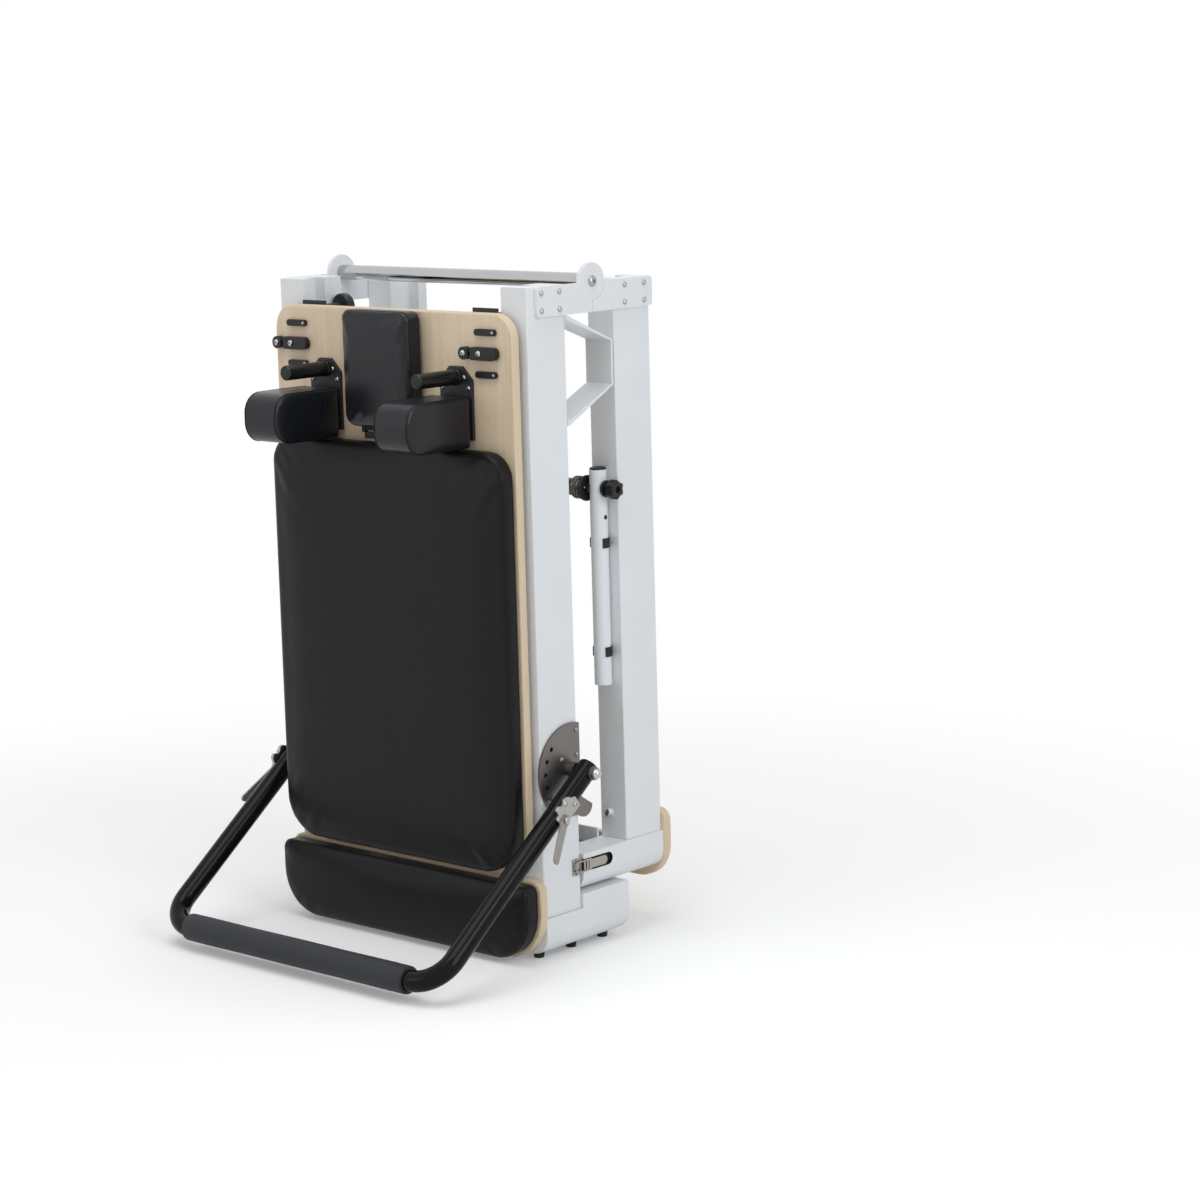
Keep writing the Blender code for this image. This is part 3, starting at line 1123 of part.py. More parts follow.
def shoulder_rest(word, steel, leather, parent):
    """A shoulder pad, and its bracket with the peg for the ropes."""
    side = SIDES[word]
    near = FITTING_SPAN / 2 - SHOULDER_INSET - SHOULDER_WIDTH
    outline = rounded(SHOULDER_END - SHOULDER_TALL, SHOULDER_END, SHOULDER_LOW, SHOULDER_HIGH,
                      (SHOULDER_ROUND, SEAM_ROUND, SEAM_ROUND, SHOULDER_ROUND), 4, (3, 2))
    bm = bmesh.new()
    padded(bm, outline, lambda u, v, w: Vector((side * (near + w), u, v)), SHOULDER_WIDTH,
           SEAM_ROUND, both=True)
    finish(f"shoulder_pad_{word}", bm, leather, parent)
    bottom = SHOULDER_LOW + BRACKET_START
    top = bottom + BRACKET_HEIGHT
    chamfer = BRACKET_CHAMFER
    inner = near + (SHOULDER_WIDTH - BRACKET_WIDTH) / 2
    outer = inner + BRACKET_WIDTH
    outline = [(inner, bottom), (outer, bottom), (outer, top - chamfer), (outer - chamfer, top),
               (inner + chamfer, top), (inner, top - chamfer)]
    face = FACE - BRACKET_THICK
    bm = bmesh.new()
    prism(bm, flipped(outline, side), "Y", face, FACE)
    item = finish(f"shoulder_bracket_{word}", bm, steel, parent)
    block, peg, heads = bmesh.new(), bmesh.new(), bmesh.new()
    seat = SHOULDER_HIGH + FIT
    low, high = SHOULDER_LOW + BRACKET_BLOCK, SHOULDER_HIGH - BRACKET_BLOCK
    outline = [(inner + BRACKET_BLOCK, low), (outer - BRACKET_BLOCK, low),
               (outer - BRACKET_BLOCK, high), (inner + BRACKET_BLOCK, high)]
    prism(block, flipped(outline, side), "Y", SHOULDER_END + FIT, face + SINK)
    rod(peg, "Y", side * (inner + outer) / 2, top - PEG_INSET, PEG_RADIUS,
        face - PEG_LENGTH, face + SINK, 14)
    head_z = (seat + BRACKET_THICK + top - PEG_INSET - PEG_RADIUS) / 2
    for x in (inner + SCREW_RADIUS * 1.6, outer - SCREW_RADIUS * 1.6):
        dome(heads, "Y", side * x, head_z, SCREW_RADIUS * 0.9, face, -SCREW_HEIGHT)
    weld(item, "block", block)
    weld(item, "peg", peg)
    weld(item, "screws", heads)
    return item


def rope_fittings(word, mat, parent):
    """One side's guides and fixed cleat jaw, bolted to a plate behind the board."""
    x = SIDES[word] * FITTING_SPAN / 2
    (_, _), (jaw, _), (cam, _), (_, _) = bolt_places(word)
    back = BOARD_BACK + FIT
    half = GUIDE_WIDTH / 2
    bm = bmesh.new()
    block(bm, (jaw - half, back, GUIDE_LOW - half), (x + half, back + BACK_PLATE, GUIDE_HIGH + half))
    item = finish(f"rope_fittings_{word}", bm, mat, parent)
    guides, jaws, bolts = bmesh.new(), bmesh.new(), bmesh.new()
    for z in (GUIDE_HIGH, GUIDE_LOW):
        outline = rounded(x - GUIDE_LENGTH / 2, x + GUIDE_LENGTH / 2, z - half, z + half,
                          (half * 0.95,) * 4, 3)
        prism(guides, outline, "Y", FACE - GUIDE_THICK, FACE)
    rod(jaws, "Y", jaw, CLEAT_Z, CLEAT_WIDTH / 2, FACE - CLEAT_THICK, FACE, 14)
    head = FACE - CLEAT_THICK - FIT
    deep = back + SINK
    for place, z in bolt_places(word):
        top = head - SCREW_HEIGHT * 0.3 if place == cam else FACE - SINK
        rod(bolts, "Y", place, z, FITTING_BOLT, top, deep, 8)
    lathe(jaws, "Y", cam, CLEAT_Z, [(FITTING_BOLT * 2, head), (FITTING_BOLT * 2, head - SCREW_HEIGHT * 0.5),
                                    (FITTING_BOLT, head - SCREW_HEIGHT)], 8)
    dome(guides, "Y", jaw, CLEAT_Z, FITTING_BOLT * 2, FACE - CLEAT_THICK, -SCREW_HEIGHT)
    weld(item, "bolts", bolts)
    weld(item, "jaw", jaws)
    weld(item, "guides", guides)
    return item


def cleat_cam(word, mat, parent):
    """The jaw that turns on its bolt and nips the rope."""
    (_, _), (_, _), (bolt, _), (_, _) = bolt_places(word)
    hub = empty(f"cleat_cam_{word}_axis", (bolt, FACE, CLEAT_Z), parent)
    half = CLEAT_WIDTH / 2
    outline = rounded(bolt - CAM_HEEL, bolt + CAM_TAIL, CLEAT_Z - half, CLEAT_Z + half,
                      (half * 0.4, half * 0.95, half * 0.95, half * 0.4), 4)
    bm = bmesh.new()
    prism(bm, outline, "Y", FACE - CLEAT_THICK, FACE - FIT)
    item = finish(f"cleat_cam_{word}", bm, mat, hub)
    hole = bmesh.new()
    rod(hole, "Y", bolt, CLEAT_Z, FITTING_BOLT + FIT, FACE - CLEAT_THICK - SINK, FACE + SINK, 10)
    cut(item, "hole", hole)
    return item


def truck(level, mat, parent):
    """A cross plate behind the board that carries a pair of each wheel."""
    stand = TRUCK_BACK + (BACK_PLATE + FIT if level == "upper" else 0)
    front = stand + TRUCK_PLATE
    load, guide = LOAD_Z[level], GUIDE_Z[level]
    half = TRUCK_SIDE / 2
    bm = bmesh.new()
    block(bm, (-TRUCK_OUT, stand, load - half), (TRUCK_OUT, front, load + half))
    item = finish(f"truck_{level}", bm, mat, parent)
    sides, arms, posts, axles, holes = (bmesh.new() for _ in range(5))
    near, far = GUIDE_WHEEL_DEPTH - GUIDE_WHEEL_WIDTH / 2, GUIDE_WHEEL_DEPTH + GUIDE_WHEEL_WIDTH / 2
    low = min(load, guide) - (TRUCK_MARGIN if guide < load else 0)
    high = max(load, guide) + (TRUCK_MARGIN if guide > load else 0)
    for side in SIDES.values():
        x0, x1 = span(side, TRUCK_OUT - TRUCK_PLATE, TRUCK_OUT)
        block(sides, (x0, stand, load - half), (x1, TRACK_MIDDLE + HUB_RADIUS, load + half))
        x0, x1 = span(side, TRUCK_IN, TRUCK_OUT)
        block(arms, (x0, stand, low), (x1, front, high))
        x = side * GUIDE_X
        rod(posts, "Y", x, guide, HUB_RADIUS, front - SINK, near - RUN, 10)
        rod(axles, "Y", x, guide, AXLE_RADIUS, near - 3 * RUN, far + 3 * RUN, 8)
        head = [(HUB_RADIUS * 0.8, far + RUN), (HUB_RADIUS * 0.8, far + 4 * RUN), (AXLE_RADIUS, far + 5 * RUN)]
        lathe(posts, "Y", x, guide, head, 10)
        rod(holes, "X", TRACK_MIDDLE, load, AXLE_RADIUS + RUN,
            *span(side, TRUCK_OUT - 2 * TRUCK_PLATE, TRUCK_OUT + TRUCK_CLEAR), sides=10)
    weld(item, "sides", sides)
    weld(item, "arms", arms)
    weld(item, "posts", posts)
    weld(item, "axles", axles)
    cut(item, "axle_holes", holes)
    return item


def wheel_profile(radius, near, far, sign=1):
    """Half profile of a wheel's outer side, from its bore's near end."""
    edge = radius * 0.12
    return [(radius - edge, sign * near), (radius, sign * (near + edge)),
            (radius, sign * (far - edge)), (radius - edge, sign * far)]


def load_wheels(level, mat, parent):
    """Two wheels on one through axle, which run in the tracks of the rails."""
    z = LOAD_Z[level]
    hub = empty(f"load_wheels_{level}_axis", (0, TRACK_MIDDLE, z), parent)
    near = RAIL_IN + RUN * 4
    far = near + LOAD_WHEEL_WIDTH
    right = [(AXLE_RADIUS, near - RUN)] + [(HUB_RADIUS * 0.8, near - RUN)]
    right += wheel_profile(LOAD_WHEEL_RADIUS, near, far) + [(AXLE_RADIUS, far)]
    profile = [(r, -x) for r, x in reversed(right)] + right
    bm = bmesh.new()
    lathe(bm, "X", TRACK_MIDDLE, z, profile, 14)
    return finish(f"load_wheels_{level}", bm, mat, hub)


def guide_wheel(level, word, mat, parent):
    """A wheel on the inner face of a rail, which keeps the carriage straight."""
    x, z = SIDES[word] * GUIDE_X, GUIDE_Z[level]
    name = f"guide_wheel_{level}_{word}"
    hub = empty(name + "_axis", (x, GUIDE_WHEEL_DEPTH, z), parent)
    low = GUIDE_WHEEL_DEPTH - GUIDE_WHEEL_WIDTH / 2
    high = low + GUIDE_WHEEL_WIDTH
    bore = AXLE_RADIUS + FIT
    profile = [(bore, low)] + wheel_profile(GUIDE_WHEEL_RADIUS, low, high) + [(bore, high)]
    bm = bmesh.new()
    lathe(bm, "Y", x, z, profile, 16, closed=True)
    return finish(name, bm, mat, hub)


def spring_places():
    first = -SPRING_PITCH * (SPRING_COUNT - 1) / 2
    return [first + SPRING_PITCH * i for i in range(SPRING_COUNT)]


def spring_bar(mat, parent):
    """A cross bar between the rails with a peg for each spring and a buffer."""
    reach = RAIL_IN - FIT
    half = SPRING_BAR / 2
    top = SPRING_BAR_Z + SPRING_BAR
    bm = bmesh.new()
    block(bm, (-reach, SPRING_DEPTH - half, SPRING_BAR_Z), (reach, SPRING_DEPTH + half, top))
    item = finish("spring_bar", bm, mat, parent)
    pegs = bmesh.new()
    for x in spring_places():
        rod(pegs, "Z", x, SPRING_DEPTH, SPRING_WIRE, top - SINK, top + SPRING_HOOK, 8)
    rod(pegs, "Z", 0, SPRING_DEPTH, BUFFER_RADIUS, top - SINK, HOLDER_LOW - FIT, 14)
    weld(item, "pegs", pegs)
    return item


def carriage_springs(mat, parent):
    """Close-wound springs held between two bars on the back of the carriage."""
    half = SPRING_BAR / 2
    reach = SPRING_REACH
    bm = bmesh.new()
    block(bm, (-reach, SPRING_DEPTH - half, HOLDER_LOW), (reach, SPRING_DEPTH + half, HOLDER_LOW + SPRING_BAR))
    item = finish("carriage_springs", bm, mat, parent)
    top, ends, coils = bmesh.new(), bmesh.new(), bmesh.new()
    block(top, (-reach, SPRING_DEPTH - half, HOLDER_HIGH), (reach, SPRING_DEPTH + half, HOLDER_HIGH + SPRING_BAR))
    for z in (HOLDER_LOW, HOLDER_HIGH):
        for side in SIDES.values():
            x0, x1 = span(side, reach - half, reach - SINK)
            block(ends, (x0, BOARD_BACK + FIT, z + SINK), (x1, SPRING_DEPTH, z + SPRING_BAR - SINK))
    low, high = HOLDER_LOW + half, HOLDER_HIGH + half
    for x in spring_places():
        profile = [(SPRING_WIRE, low), (SPRING_WIRE, low + SPRING_NECK * 0.5),
                   (SPRING_RADIUS, low + SPRING_NECK * 0.7), (SPRING_RADIUS, high - SPRING_NECK * 0.7),
                   (SPRING_WIRE, high - SPRING_NECK * 0.5), (SPRING_WIRE, high)]
        lathe(coils, "Z", x, SPRING_DEPTH, profile, 10)
    weld(item, "top_bar", top)
    weld(item, "ends", ends)
    weld(item, "coils", coils)
    return item


def build():
    clear_scene()
    paint = material("white_powder_coat", (0.80, 0.82, 0.84), 0.42)
    wood = material("pale_maple", (0.78, 0.67, 0.51), 0.45)
    leather = material("black_leatherette", (0.035, 0.037, 0.042), 0.42)
    gloss = material("black_gloss_paint", (0.02, 0.02, 0.022), 0.18, 0.1)
    foam = material("black_foam", (0.03, 0.03, 0.032), 0.75)
    chrome = material("chrome", (0.75, 0.75, 0.76), 0.08, 1.0)
    steel = material("brushed_steel", (0.55, 0.54, 0.52), 0.32, 1.0)
    black_steel = material("black_steel", (0.05, 0.052, 0.058), 0.45, 0.4)
    plastic = material("black_plastic", (0.025, 0.025, 0.027), 0.4)
    rubber = material("rubber", (0.03, 0.03, 0.03), 0.8)
    rope = material("flecked_rope", (0.22, 0.21, 0.19), 0.85)

    root = empty("foot_half", (0, 0, 0))
    head = empty("fold_axis", PIVOT, root)
    carriage = empty("carriage", (0, 0, BOARD_LOW), root)
    bar = empty("footbar_axis", FOOTBAR_PIVOT, root)

    foot_frame(paint, root)
    head_frame(paint, head)
    fold_bar(chrome, root)
    platform(wood, leather, root)
    head_board(wood, head)
    spring_bar(black_steel, root)
    footbar(gloss, foam, bar)
    carriage_board(wood, carriage)
    carriage_cushion(leather, carriage)
    headrest_hinge(black_steel, carriage)
    headrest(black_steel, leather, carriage)
    carriage_springs(steel, carriage)
    for word in SIDES:
        rail("foot", word, paint, root)
        rail("head", word, paint, head)
        foot_strip(word, rubber, root)
        mid_foot(word, paint, root)
        hinge_leaf("foot", word, paint, root)
        hinge_leaf("head", word, paint, head)
        sector_plate(word, steel, root)
        lock_lever(word, steel, bar)
        riser(word, paint, head)
        rope_winding(word, rope, head)
        riser_clip(word, "low", plastic, head)
        riser_clip(word, "high", plastic, head)
        star_knob(word, plastic, head)
        latch_lever(word, steel, head)
        shoulder_rest(word, black_steel, leather, carriage)
        rope_fittings(word, plastic, carriage)
        cleat_cam(word, plastic, carriage)
    for level in ("upper", "lower"):
        truck(level, black_steel, carriage)
        load_wheels(level, plastic, carriage)
        for word in SIDES:
            guide_wheel(level, word, plastic, carriage)


build()
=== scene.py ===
"""Folding pilates reformer, folded in two and standing on its foot end.

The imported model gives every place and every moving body. This script gives
each piece its finish, and models the soft, wound and small pieces in full.
"""

import math

import bmesh
import bpy
from mathutils import Matrix, Vector


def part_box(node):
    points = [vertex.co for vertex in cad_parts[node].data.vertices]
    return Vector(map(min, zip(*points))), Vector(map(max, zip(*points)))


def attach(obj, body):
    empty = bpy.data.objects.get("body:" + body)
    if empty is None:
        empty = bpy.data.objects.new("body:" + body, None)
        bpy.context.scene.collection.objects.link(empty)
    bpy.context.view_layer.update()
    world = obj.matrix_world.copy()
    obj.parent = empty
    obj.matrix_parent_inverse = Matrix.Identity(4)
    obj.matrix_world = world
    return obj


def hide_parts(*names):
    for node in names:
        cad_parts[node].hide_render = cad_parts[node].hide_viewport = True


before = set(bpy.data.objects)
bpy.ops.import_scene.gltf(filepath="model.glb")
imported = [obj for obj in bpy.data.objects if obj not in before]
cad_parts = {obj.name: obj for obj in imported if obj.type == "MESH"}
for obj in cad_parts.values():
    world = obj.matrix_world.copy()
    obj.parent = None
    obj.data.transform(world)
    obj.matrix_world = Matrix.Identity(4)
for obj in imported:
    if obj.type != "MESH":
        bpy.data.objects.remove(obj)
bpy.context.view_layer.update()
scene = bpy.context.scene
scene.view_settings.view_transform = "Standard"


# Studio. The camera stands where the photograph was taken from, a little above
# the machine and to its right. Soft light comes from the right, from above and
# more weakly from the front, and the floor and the room around are white.

turn_left, look_down, roll = 41.955, 9.812, -0.02677
bpy.ops.object.camera_add(location=(4.0208, -3.9565, 1.5945))
camera = bpy.context.object
camera.data.sensor_width = 36
camera.data.lens = 94.27
camera.matrix_world = (Matrix.Translation(camera.location)
                       @ Matrix.Rotation(math.radians(turn_left), 4, "Z")
                       @ Matrix.Rotation(math.radians(90 - look_down), 4, "X")
                       @ Matrix.Rotation(roll, 4, "Z"))
scene.camera = camera


def soft_light(name, place, aim, size, power, colour=(1, 1, 1)):
    """A rectangular lamp on a place, turned towards its aim."""
    bpy.ops.object.light_add(type="AREA", location=place)
    light = bpy.context.object
    light.name = name
    light.data.shape = "RECTANGLE"
    light.data.size, light.data.size_y = size
    light.data.energy = power
    light.data.color = colour
    way = Vector(aim) - Vector(place)
    light.rotation_euler = way.to_track_quat("-Z", "Y").to_euler()


soft_light("window_right", (4.2, -0.6, 2.4), (0, 0.1, 0.6), size=(1.8, 2.6), power=56,
           colour=(0.93, 0.97, 1.0))
soft_light("softbox_above", (0.4, -0.9, 4.2), (0, 0, 0.4), size=(2.6, 2.6), power=56)
soft_light("fill_front", (-1.8, -4.2, 2.0), (0, 0, 0.5), size=(2.2, 2.2), power=20)


def feed(tree, made, inputs):
    """Sets a node's inputs to values, to outputs or to other nodes' first outputs."""
    for word, value in inputs.items():
        if isinstance(value, bpy.types.Node):
            value = value.outputs[0]
        if isinstance(value, bpy.types.NodeSocket):
            tree.links.new(value, made.inputs[word])
        else:
            made.inputs[word].default_value = value


def node(tree, kind, inputs=None, **settings):
    """One shader node with its settings and its inputs."""
    made = tree.nodes.new("ShaderNode" + kind)
    for word, value in settings.items():
        setattr(made, word, value)
    feed(tree, made, inputs or {})
    return made


def seen_by(tree, *rays):
    """A mask of the rays that see a surface, such as the camera's own."""
    path = node(tree, "LightPath")
    seen = path.outputs[rays[0]]
    for ray in rays[1:]:
        seen = node(tree, "Math", {0: seen, 1: path.outputs[ray]}, operation="MAXIMUM")
    return seen


white, room_level = (1, 1, 1, 1), 0.44
world = bpy.data.worlds.new("white_studio")
scene.world = world
world.use_nodes = True
tree = world.node_tree
seen = seen_by(tree, "Is Camera Ray", "Is Glossy Ray", "Is Transmission Ray")
level = node(tree, "MapRange", {"Value": seen, "To Min": room_level, "To Max": 1.0})
feed(tree, tree.nodes["Background"], {"Strength": level, "Color": white})


def fresh(name):
    """A new material, with its node tree and its shader."""
    made = bpy.data.materials.new(name)
    made.use_nodes = True
    return made, made.node_tree, made.node_tree.nodes["Principled BSDF"]


floor_white, tree, shader = fresh("floor_white")
tree.nodes.remove(shader)
seen = seen_by(tree, "Is Camera Ray", "Is Glossy Ray")
place = node(tree, "TexCoord")
reach = node(tree, "VectorMath", {0: place.outputs["Object"]}, operation="LENGTH").outputs["Value"]
paper = node(tree, "BsdfDiffuse", {"Color": (0.86, 0.86, 0.86, 1)})
# The paper glows a little, and less so near the machine, where the shadow lies
lift = node(tree, "MapRange", {"Value": reach, "From Min": 0.30, "From Max": 0.60,
                               "To Min": 0.18, "To Max": 0.27})
glow = node(tree, "Math", {0: seen, 1: lift}, operation="MULTIPLY")
glow = node(tree, "Emission", {"Color": white, "Strength": glow})
both = node(tree, "AddShader", {0: paper, 1: glow})
# Past a stride from the machine the paper runs out into plain white
away = node(tree, "MapRange", {"Value": reach, "From Min": 0.7, "From Max": 2.4},
            interpolation_type="SMOOTHSTEP")
away = node(tree, "Math", {0: away, 1: seen}, operation="MULTIPLY")
plain = node(tree, "Emission", {"Color": white, "Strength": 1.0})
both = node(tree, "MixShader", {0: away, 1: both, 2: plain})
# Its underside is clear, so that the machine also shows from below
side = node(tree, "NewGeometry")
clear = node(tree, "BsdfTransparent")
shown = node(tree, "MixShader", {0: side.outputs["Backfacing"], 1: both, 2: clear})
feed(tree, tree.nodes["Material Output"], {"Surface": shown})
bpy.ops.mesh.primitive_circle_add(vertices=96, radius=24, fill_type="NGON", location=(0, 0, 0))
floor = bpy.context.object
floor.name = "studio_floor"
floor.data.materials.append(floor_white)


# Frame. Aluminium rails, cast foot and head ends, bent mid feet and the flat
# hinge leaves, all in a pale satin powder coat with a very fine orange peel. The
# machine stands on two strips of black rubber feet.

def effect(name, inputs, outputs):
    """An empty node group with named sockets."""
    made = bpy.data.node_groups.new(name, "ShaderNodeTree")
    for word, value in inputs.items():
        socket = made.interface.new_socket(word, in_out="INPUT", socket_type="NodeSocketFloat")
        socket.default_value = value
    for word in outputs:
        made.interface.new_socket(word, in_out="OUTPUT", socket_type="NodeSocketFloat")
    return made, made.nodes.new("NodeGroupInput"), made.nodes.new("NodeGroupOutput")


# Fine relief of a coat or a moulding, and broad soft patches of dust and handling
fine_relief, given, result = effect("fine_relief", {"Scale": 900.0, "Patch": 9.0},
                                    ("Height", "Patches"))
place = node(fine_relief, "TexCoord").outputs["Object"]
small = node(fine_relief, "TexNoise", {"Vector": place, "Scale": given.outputs["Scale"],
                                       "Detail": 2.0})
broad = node(fine_relief, "TexNoise", {"Vector": place, "Scale": given.outputs["Patch"],
                                       "Detail": 5.0})
even = node(fine_relief, "MapRange", {"Value": broad, "From Min": 0.3, "From Max": 0.7})
feed(fine_relief, result, {"Height": small, "Patches": even})


def toned(colour, share):
    """A colour made darker or lighter, with its alpha."""
    return tuple(min(c * share, 1) for c in colour) + (1,)


def blend(tree, share, first, second):
    """Two colours or masks mixed by a share."""
    return node(tree, "Mix", {0: share, 6: first, 7: second}, data_type="RGBA").outputs[2]


def coat(name, colour, rough, scale, depth, patch=9.0, tone=0.05, spread=0.06, **extra):
    """A painted, moulded or plated finish with fine relief and uneven patches."""
    made, tree, shader = fresh(name)
    relief = node(tree, "Group", {"Scale": scale, "Patch": patch}, node_tree=fine_relief)
    patches = relief.outputs["Patches"]
    gloss = node(tree, "MapRange", {"Value": patches, "To Min": max(rough - spread, 0.03),
                                    "To Max": rough + spread})
    bump = node(tree, "Bump", {"Height": relief.outputs["Height"], "Distance": depth,
                               "Strength": 1.0})
    tint = blend(tree, patches, toned(colour, 1 - tone), toned(colour, 1 + tone))
    feed(tree, shader, {"Base Color": tint, "Roughness": gloss, "Normal": bump})
    feed(tree, shader, {word.replace("_", " "): value for word, value in extra.items()})
    return made


def one_finish(item, material):
    """The same finish all over a piece."""
    item.data.materials.clear()
    item.data.materials.append(material)


def dress(words, material, angle=40, edge=0.0006):
    """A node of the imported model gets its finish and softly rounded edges."""
    for word in words:
        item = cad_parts[word]
        one_finish(item, material)
        item.data.polygons.foreach_set("use_smooth", [True] * len(item.data.polygons))
        weld = item.modifiers.new("merged", "WELD")
        weld.merge_threshold = 0.00001
        bevel = item.modifiers.new("soft_edges", "BEVEL")
        bevel.limit_method = "ANGLE"
        bevel.angle_limit = math.radians(angle)
        bevel.width = edge
        bevel.segments = 2
        bevel.harden_normals = True
        flat = item.modifiers.new("flat_faces", "WEIGHTED_NORMAL")
        flat.weight = 80


powder_coat = coat("powder_coat", (0.79, 0.815, 0.838), 0.40, 1100, 0.00002, tone=0.015,
                   spread=0.03)
dress(["rail_foot_left", "rail_foot_right", "rail_head_left", "rail_head_right",
       "foot_frame", "head_frame"], powder_coat)
dress(["mid_foot_left", "mid_foot_right"], powder_coat, angle=18)
dress(["hinge_leaf_foot_left", "hinge_leaf_foot_right", "hinge_leaf_head_left",
       "hinge_leaf_head_right"], powder_coat, edge=0.0009)

black_rubber = coat("black_rubber", (0.018, 0.018, 0.019), 0.72, 1400, 0.00006,
                    Specular_IOR_Level=0.3)
dress(["foot_strip_left", "foot_strip_right"], black_rubber)


# Boards. The carriage, the standing platform and the head board are cut from
# pale laminated maple board, lacquered, with a rounded arris all round. The
# grain runs along the machine on the carriage and across it on the others.

def shades(tree, value, first, middle, last, interpolation="LINEAR"):
    """A colour ramp of three (place, colour) stops."""
    made = node(tree, "ValToRGB", {"Fac": value})
    ramp = made.color_ramp
    ramp.interpolation = interpolation
    ramp.elements[0].position, ramp.elements[0].color = first
    ramp.elements[1].position, ramp.elements[1].color = last
    ramp.elements.new(middle[0]).color = middle[1]
    return made


def maple(name, along):
    """Lacquered maple with fine pores and broad flames along one axis."""
    made, tree, shader = fresh(name)
    place = node(tree, "TexCoord")
    run = tuple(0.035 if axis == along else 1.0 for axis in "XYZ")
    grain = node(tree, "Mapping", {"Vector": place.outputs["Object"], "Scale": run})
    flames = node(tree, "TexNoise", {"Vector": grain, "Scale": 42.0, "Detail": 4.0,
                                     "Roughness": 0.55, "Distortion": 0.35})
    pores = node(tree, "TexNoise", {"Vector": grain, "Scale": 330.0, "Detail": 3.0,
                                    "Roughness": 0.7})
    wide = node(tree, "TexNoise", {"Vector": grain, "Scale": 9.0, "Detail": 1.0})
    mixed = blend(tree, 0.3, blend(tree, 0.42, flames, pores), wide)
    wood = shades(tree, mixed, (0.36, (0.66, 0.515, 0.345, 1)), (0.5, (0.745, 0.60, 0.425, 1)),
                  (0.64, (0.80, 0.665, 0.485, 1)))
    # The sawn sides show a plain edge band instead of the face's grain
    face = node(tree, "NewGeometry")
    normal = node(tree, "SeparateXYZ", {0: face.outputs["Normal"]})
    flat = node(tree, "Math", {0: normal.outputs["Y"]}, operation="ABSOLUTE")
    edge = node(tree, "MapRange", {"Value": flat, "From Min": 0.5, "From Max": 0.8,
                                   "To Min": 1.0, "To Max": 0.0})
    gloss = node(tree, "MapRange", {"Value": pores, "To Min": 0.38, "To Max": 0.52})
    bump = node(tree, "Bump", {"Height": pores, "Distance": 0.00006})
    feed(tree, shader, {"Base Color": blend(tree, edge, wood, (0.70, 0.56, 0.40, 1)),
                        "Roughness": gloss, "Normal": bump, "Coat Weight": 0.15,
                        "Coat Roughness": 0.3})
    return made


dress(["carriage_board"], maple("maple_along", "Z"), angle=50, edge=0.0009)
dress(["platform_board", "head_board"], maple("maple_across", "X"), angle=50, edge=0.0009)


# Carriage and platform cushions. Black soft leatherette is drawn over foam on
# each board. It is blown up a little with its seams and its back held, so that
# the sides pull in between the corners and the face crowns.

def only(*items):
    """Selects just these objects, the last one active."""
    bpy.ops.object.select_all(action="DESELECT")
    for item in items:
        item.select_set(True)
        bpy.context.view_layer.objects.active = item


def added(operator, name, **settings):
    """A new primitive, selected alone."""
    bpy.ops.object.select_all(action="DESELECT")
    operator(**settings)
    item = bpy.context.object
    item.name = name
    return item


def settle(item):
    """The object goes to the origin, with its place in its mesh."""
    only(item)
    bpy.ops.object.transform_apply(location=True, rotation=True, scale=True)


def choose(item, mode, test):
    """In edit mode, selects just the vertices, edges or faces that pass."""
    bpy.ops.mesh.select_mode(type=mode)
    bpy.ops.mesh.select_all(action="DESELECT")
    bm = bmesh.from_edit_mesh(item.data)
    for part in {"VERT": bm.verts, "EDGE": bm.edges, "FACE": bm.faces}[mode]:
        if test(part):
            part.select_set(True)
    bm.select_flush_mode()
    bmesh.update_edit_mesh(item.data)


def rounded(item, mode, test, radius, steps):
    """In edit mode, rounds just the corners or edges that pass."""
    choose(item, mode, test)
    affect = "EDGES" if mode == "EDGE" else "VERTICES"
    bpy.ops.mesh.bevel(offset=radius, segments=steps, affect=affect)


def turned_out():
    """Merges doubled points, turns the faces outwards and ends edit mode."""
    bpy.ops.mesh.select_all(action="SELECT")
    bpy.ops.mesh.remove_doubles(threshold=0.00001)
    bpy.ops.mesh.normals_make_consistent(inside=False)
    bpy.ops.object.mode_set(mode="OBJECT")


def round_face(name, low, high, corners, steps=9):
    """A face in the XZ plane at low.y with round corners, left in edit mode."""
    middle = [(a + b) / 2 for a, b in zip(low, high)]
    item = added(bpy.ops.mesh.primitive_plane_add, name, size=1,
                 location=(middle[0], low.y, middle[2]), rotation=(math.pi / 2, 0, 0))
    item.scale = (high.x - low.x, high.z - low.z, 1)
    settle(item)
    bpy.ops.object.mode_set(mode="EDIT")
    near_end = (high.z - low.z) * 0.49
    for radius, side in ((corners[1], 1), (corners[0], -1)):
        rounded(item, "VERT", lambda v: (v.co.z - middle[2]) * side > near_end, radius, steps)
    bpy.ops.mesh.select_all(action="SELECT")
    return item


def pad_block(name, low, high, corners, seam):
    """A block with such a face, and a round front edge."""
    item = round_face(name, low, high, corners)
    bpy.ops.mesh.extrude_region_move(TRANSFORM_OT_translate={"value": (0, high.y - low.y, 0)})
    turned_out()
    bpy.ops.object.mode_set(mode="EDIT")
    rounded(item, "EDGE", lambda e: all(abs(v.co.y - low.y) < 0.0001 for v in e.verts)
            and len(e.link_faces) == 2 and e.calc_face_angle(0) > 0.5, seam, 4)
    bpy.ops.object.mode_set(mode="OBJECT")
    return item


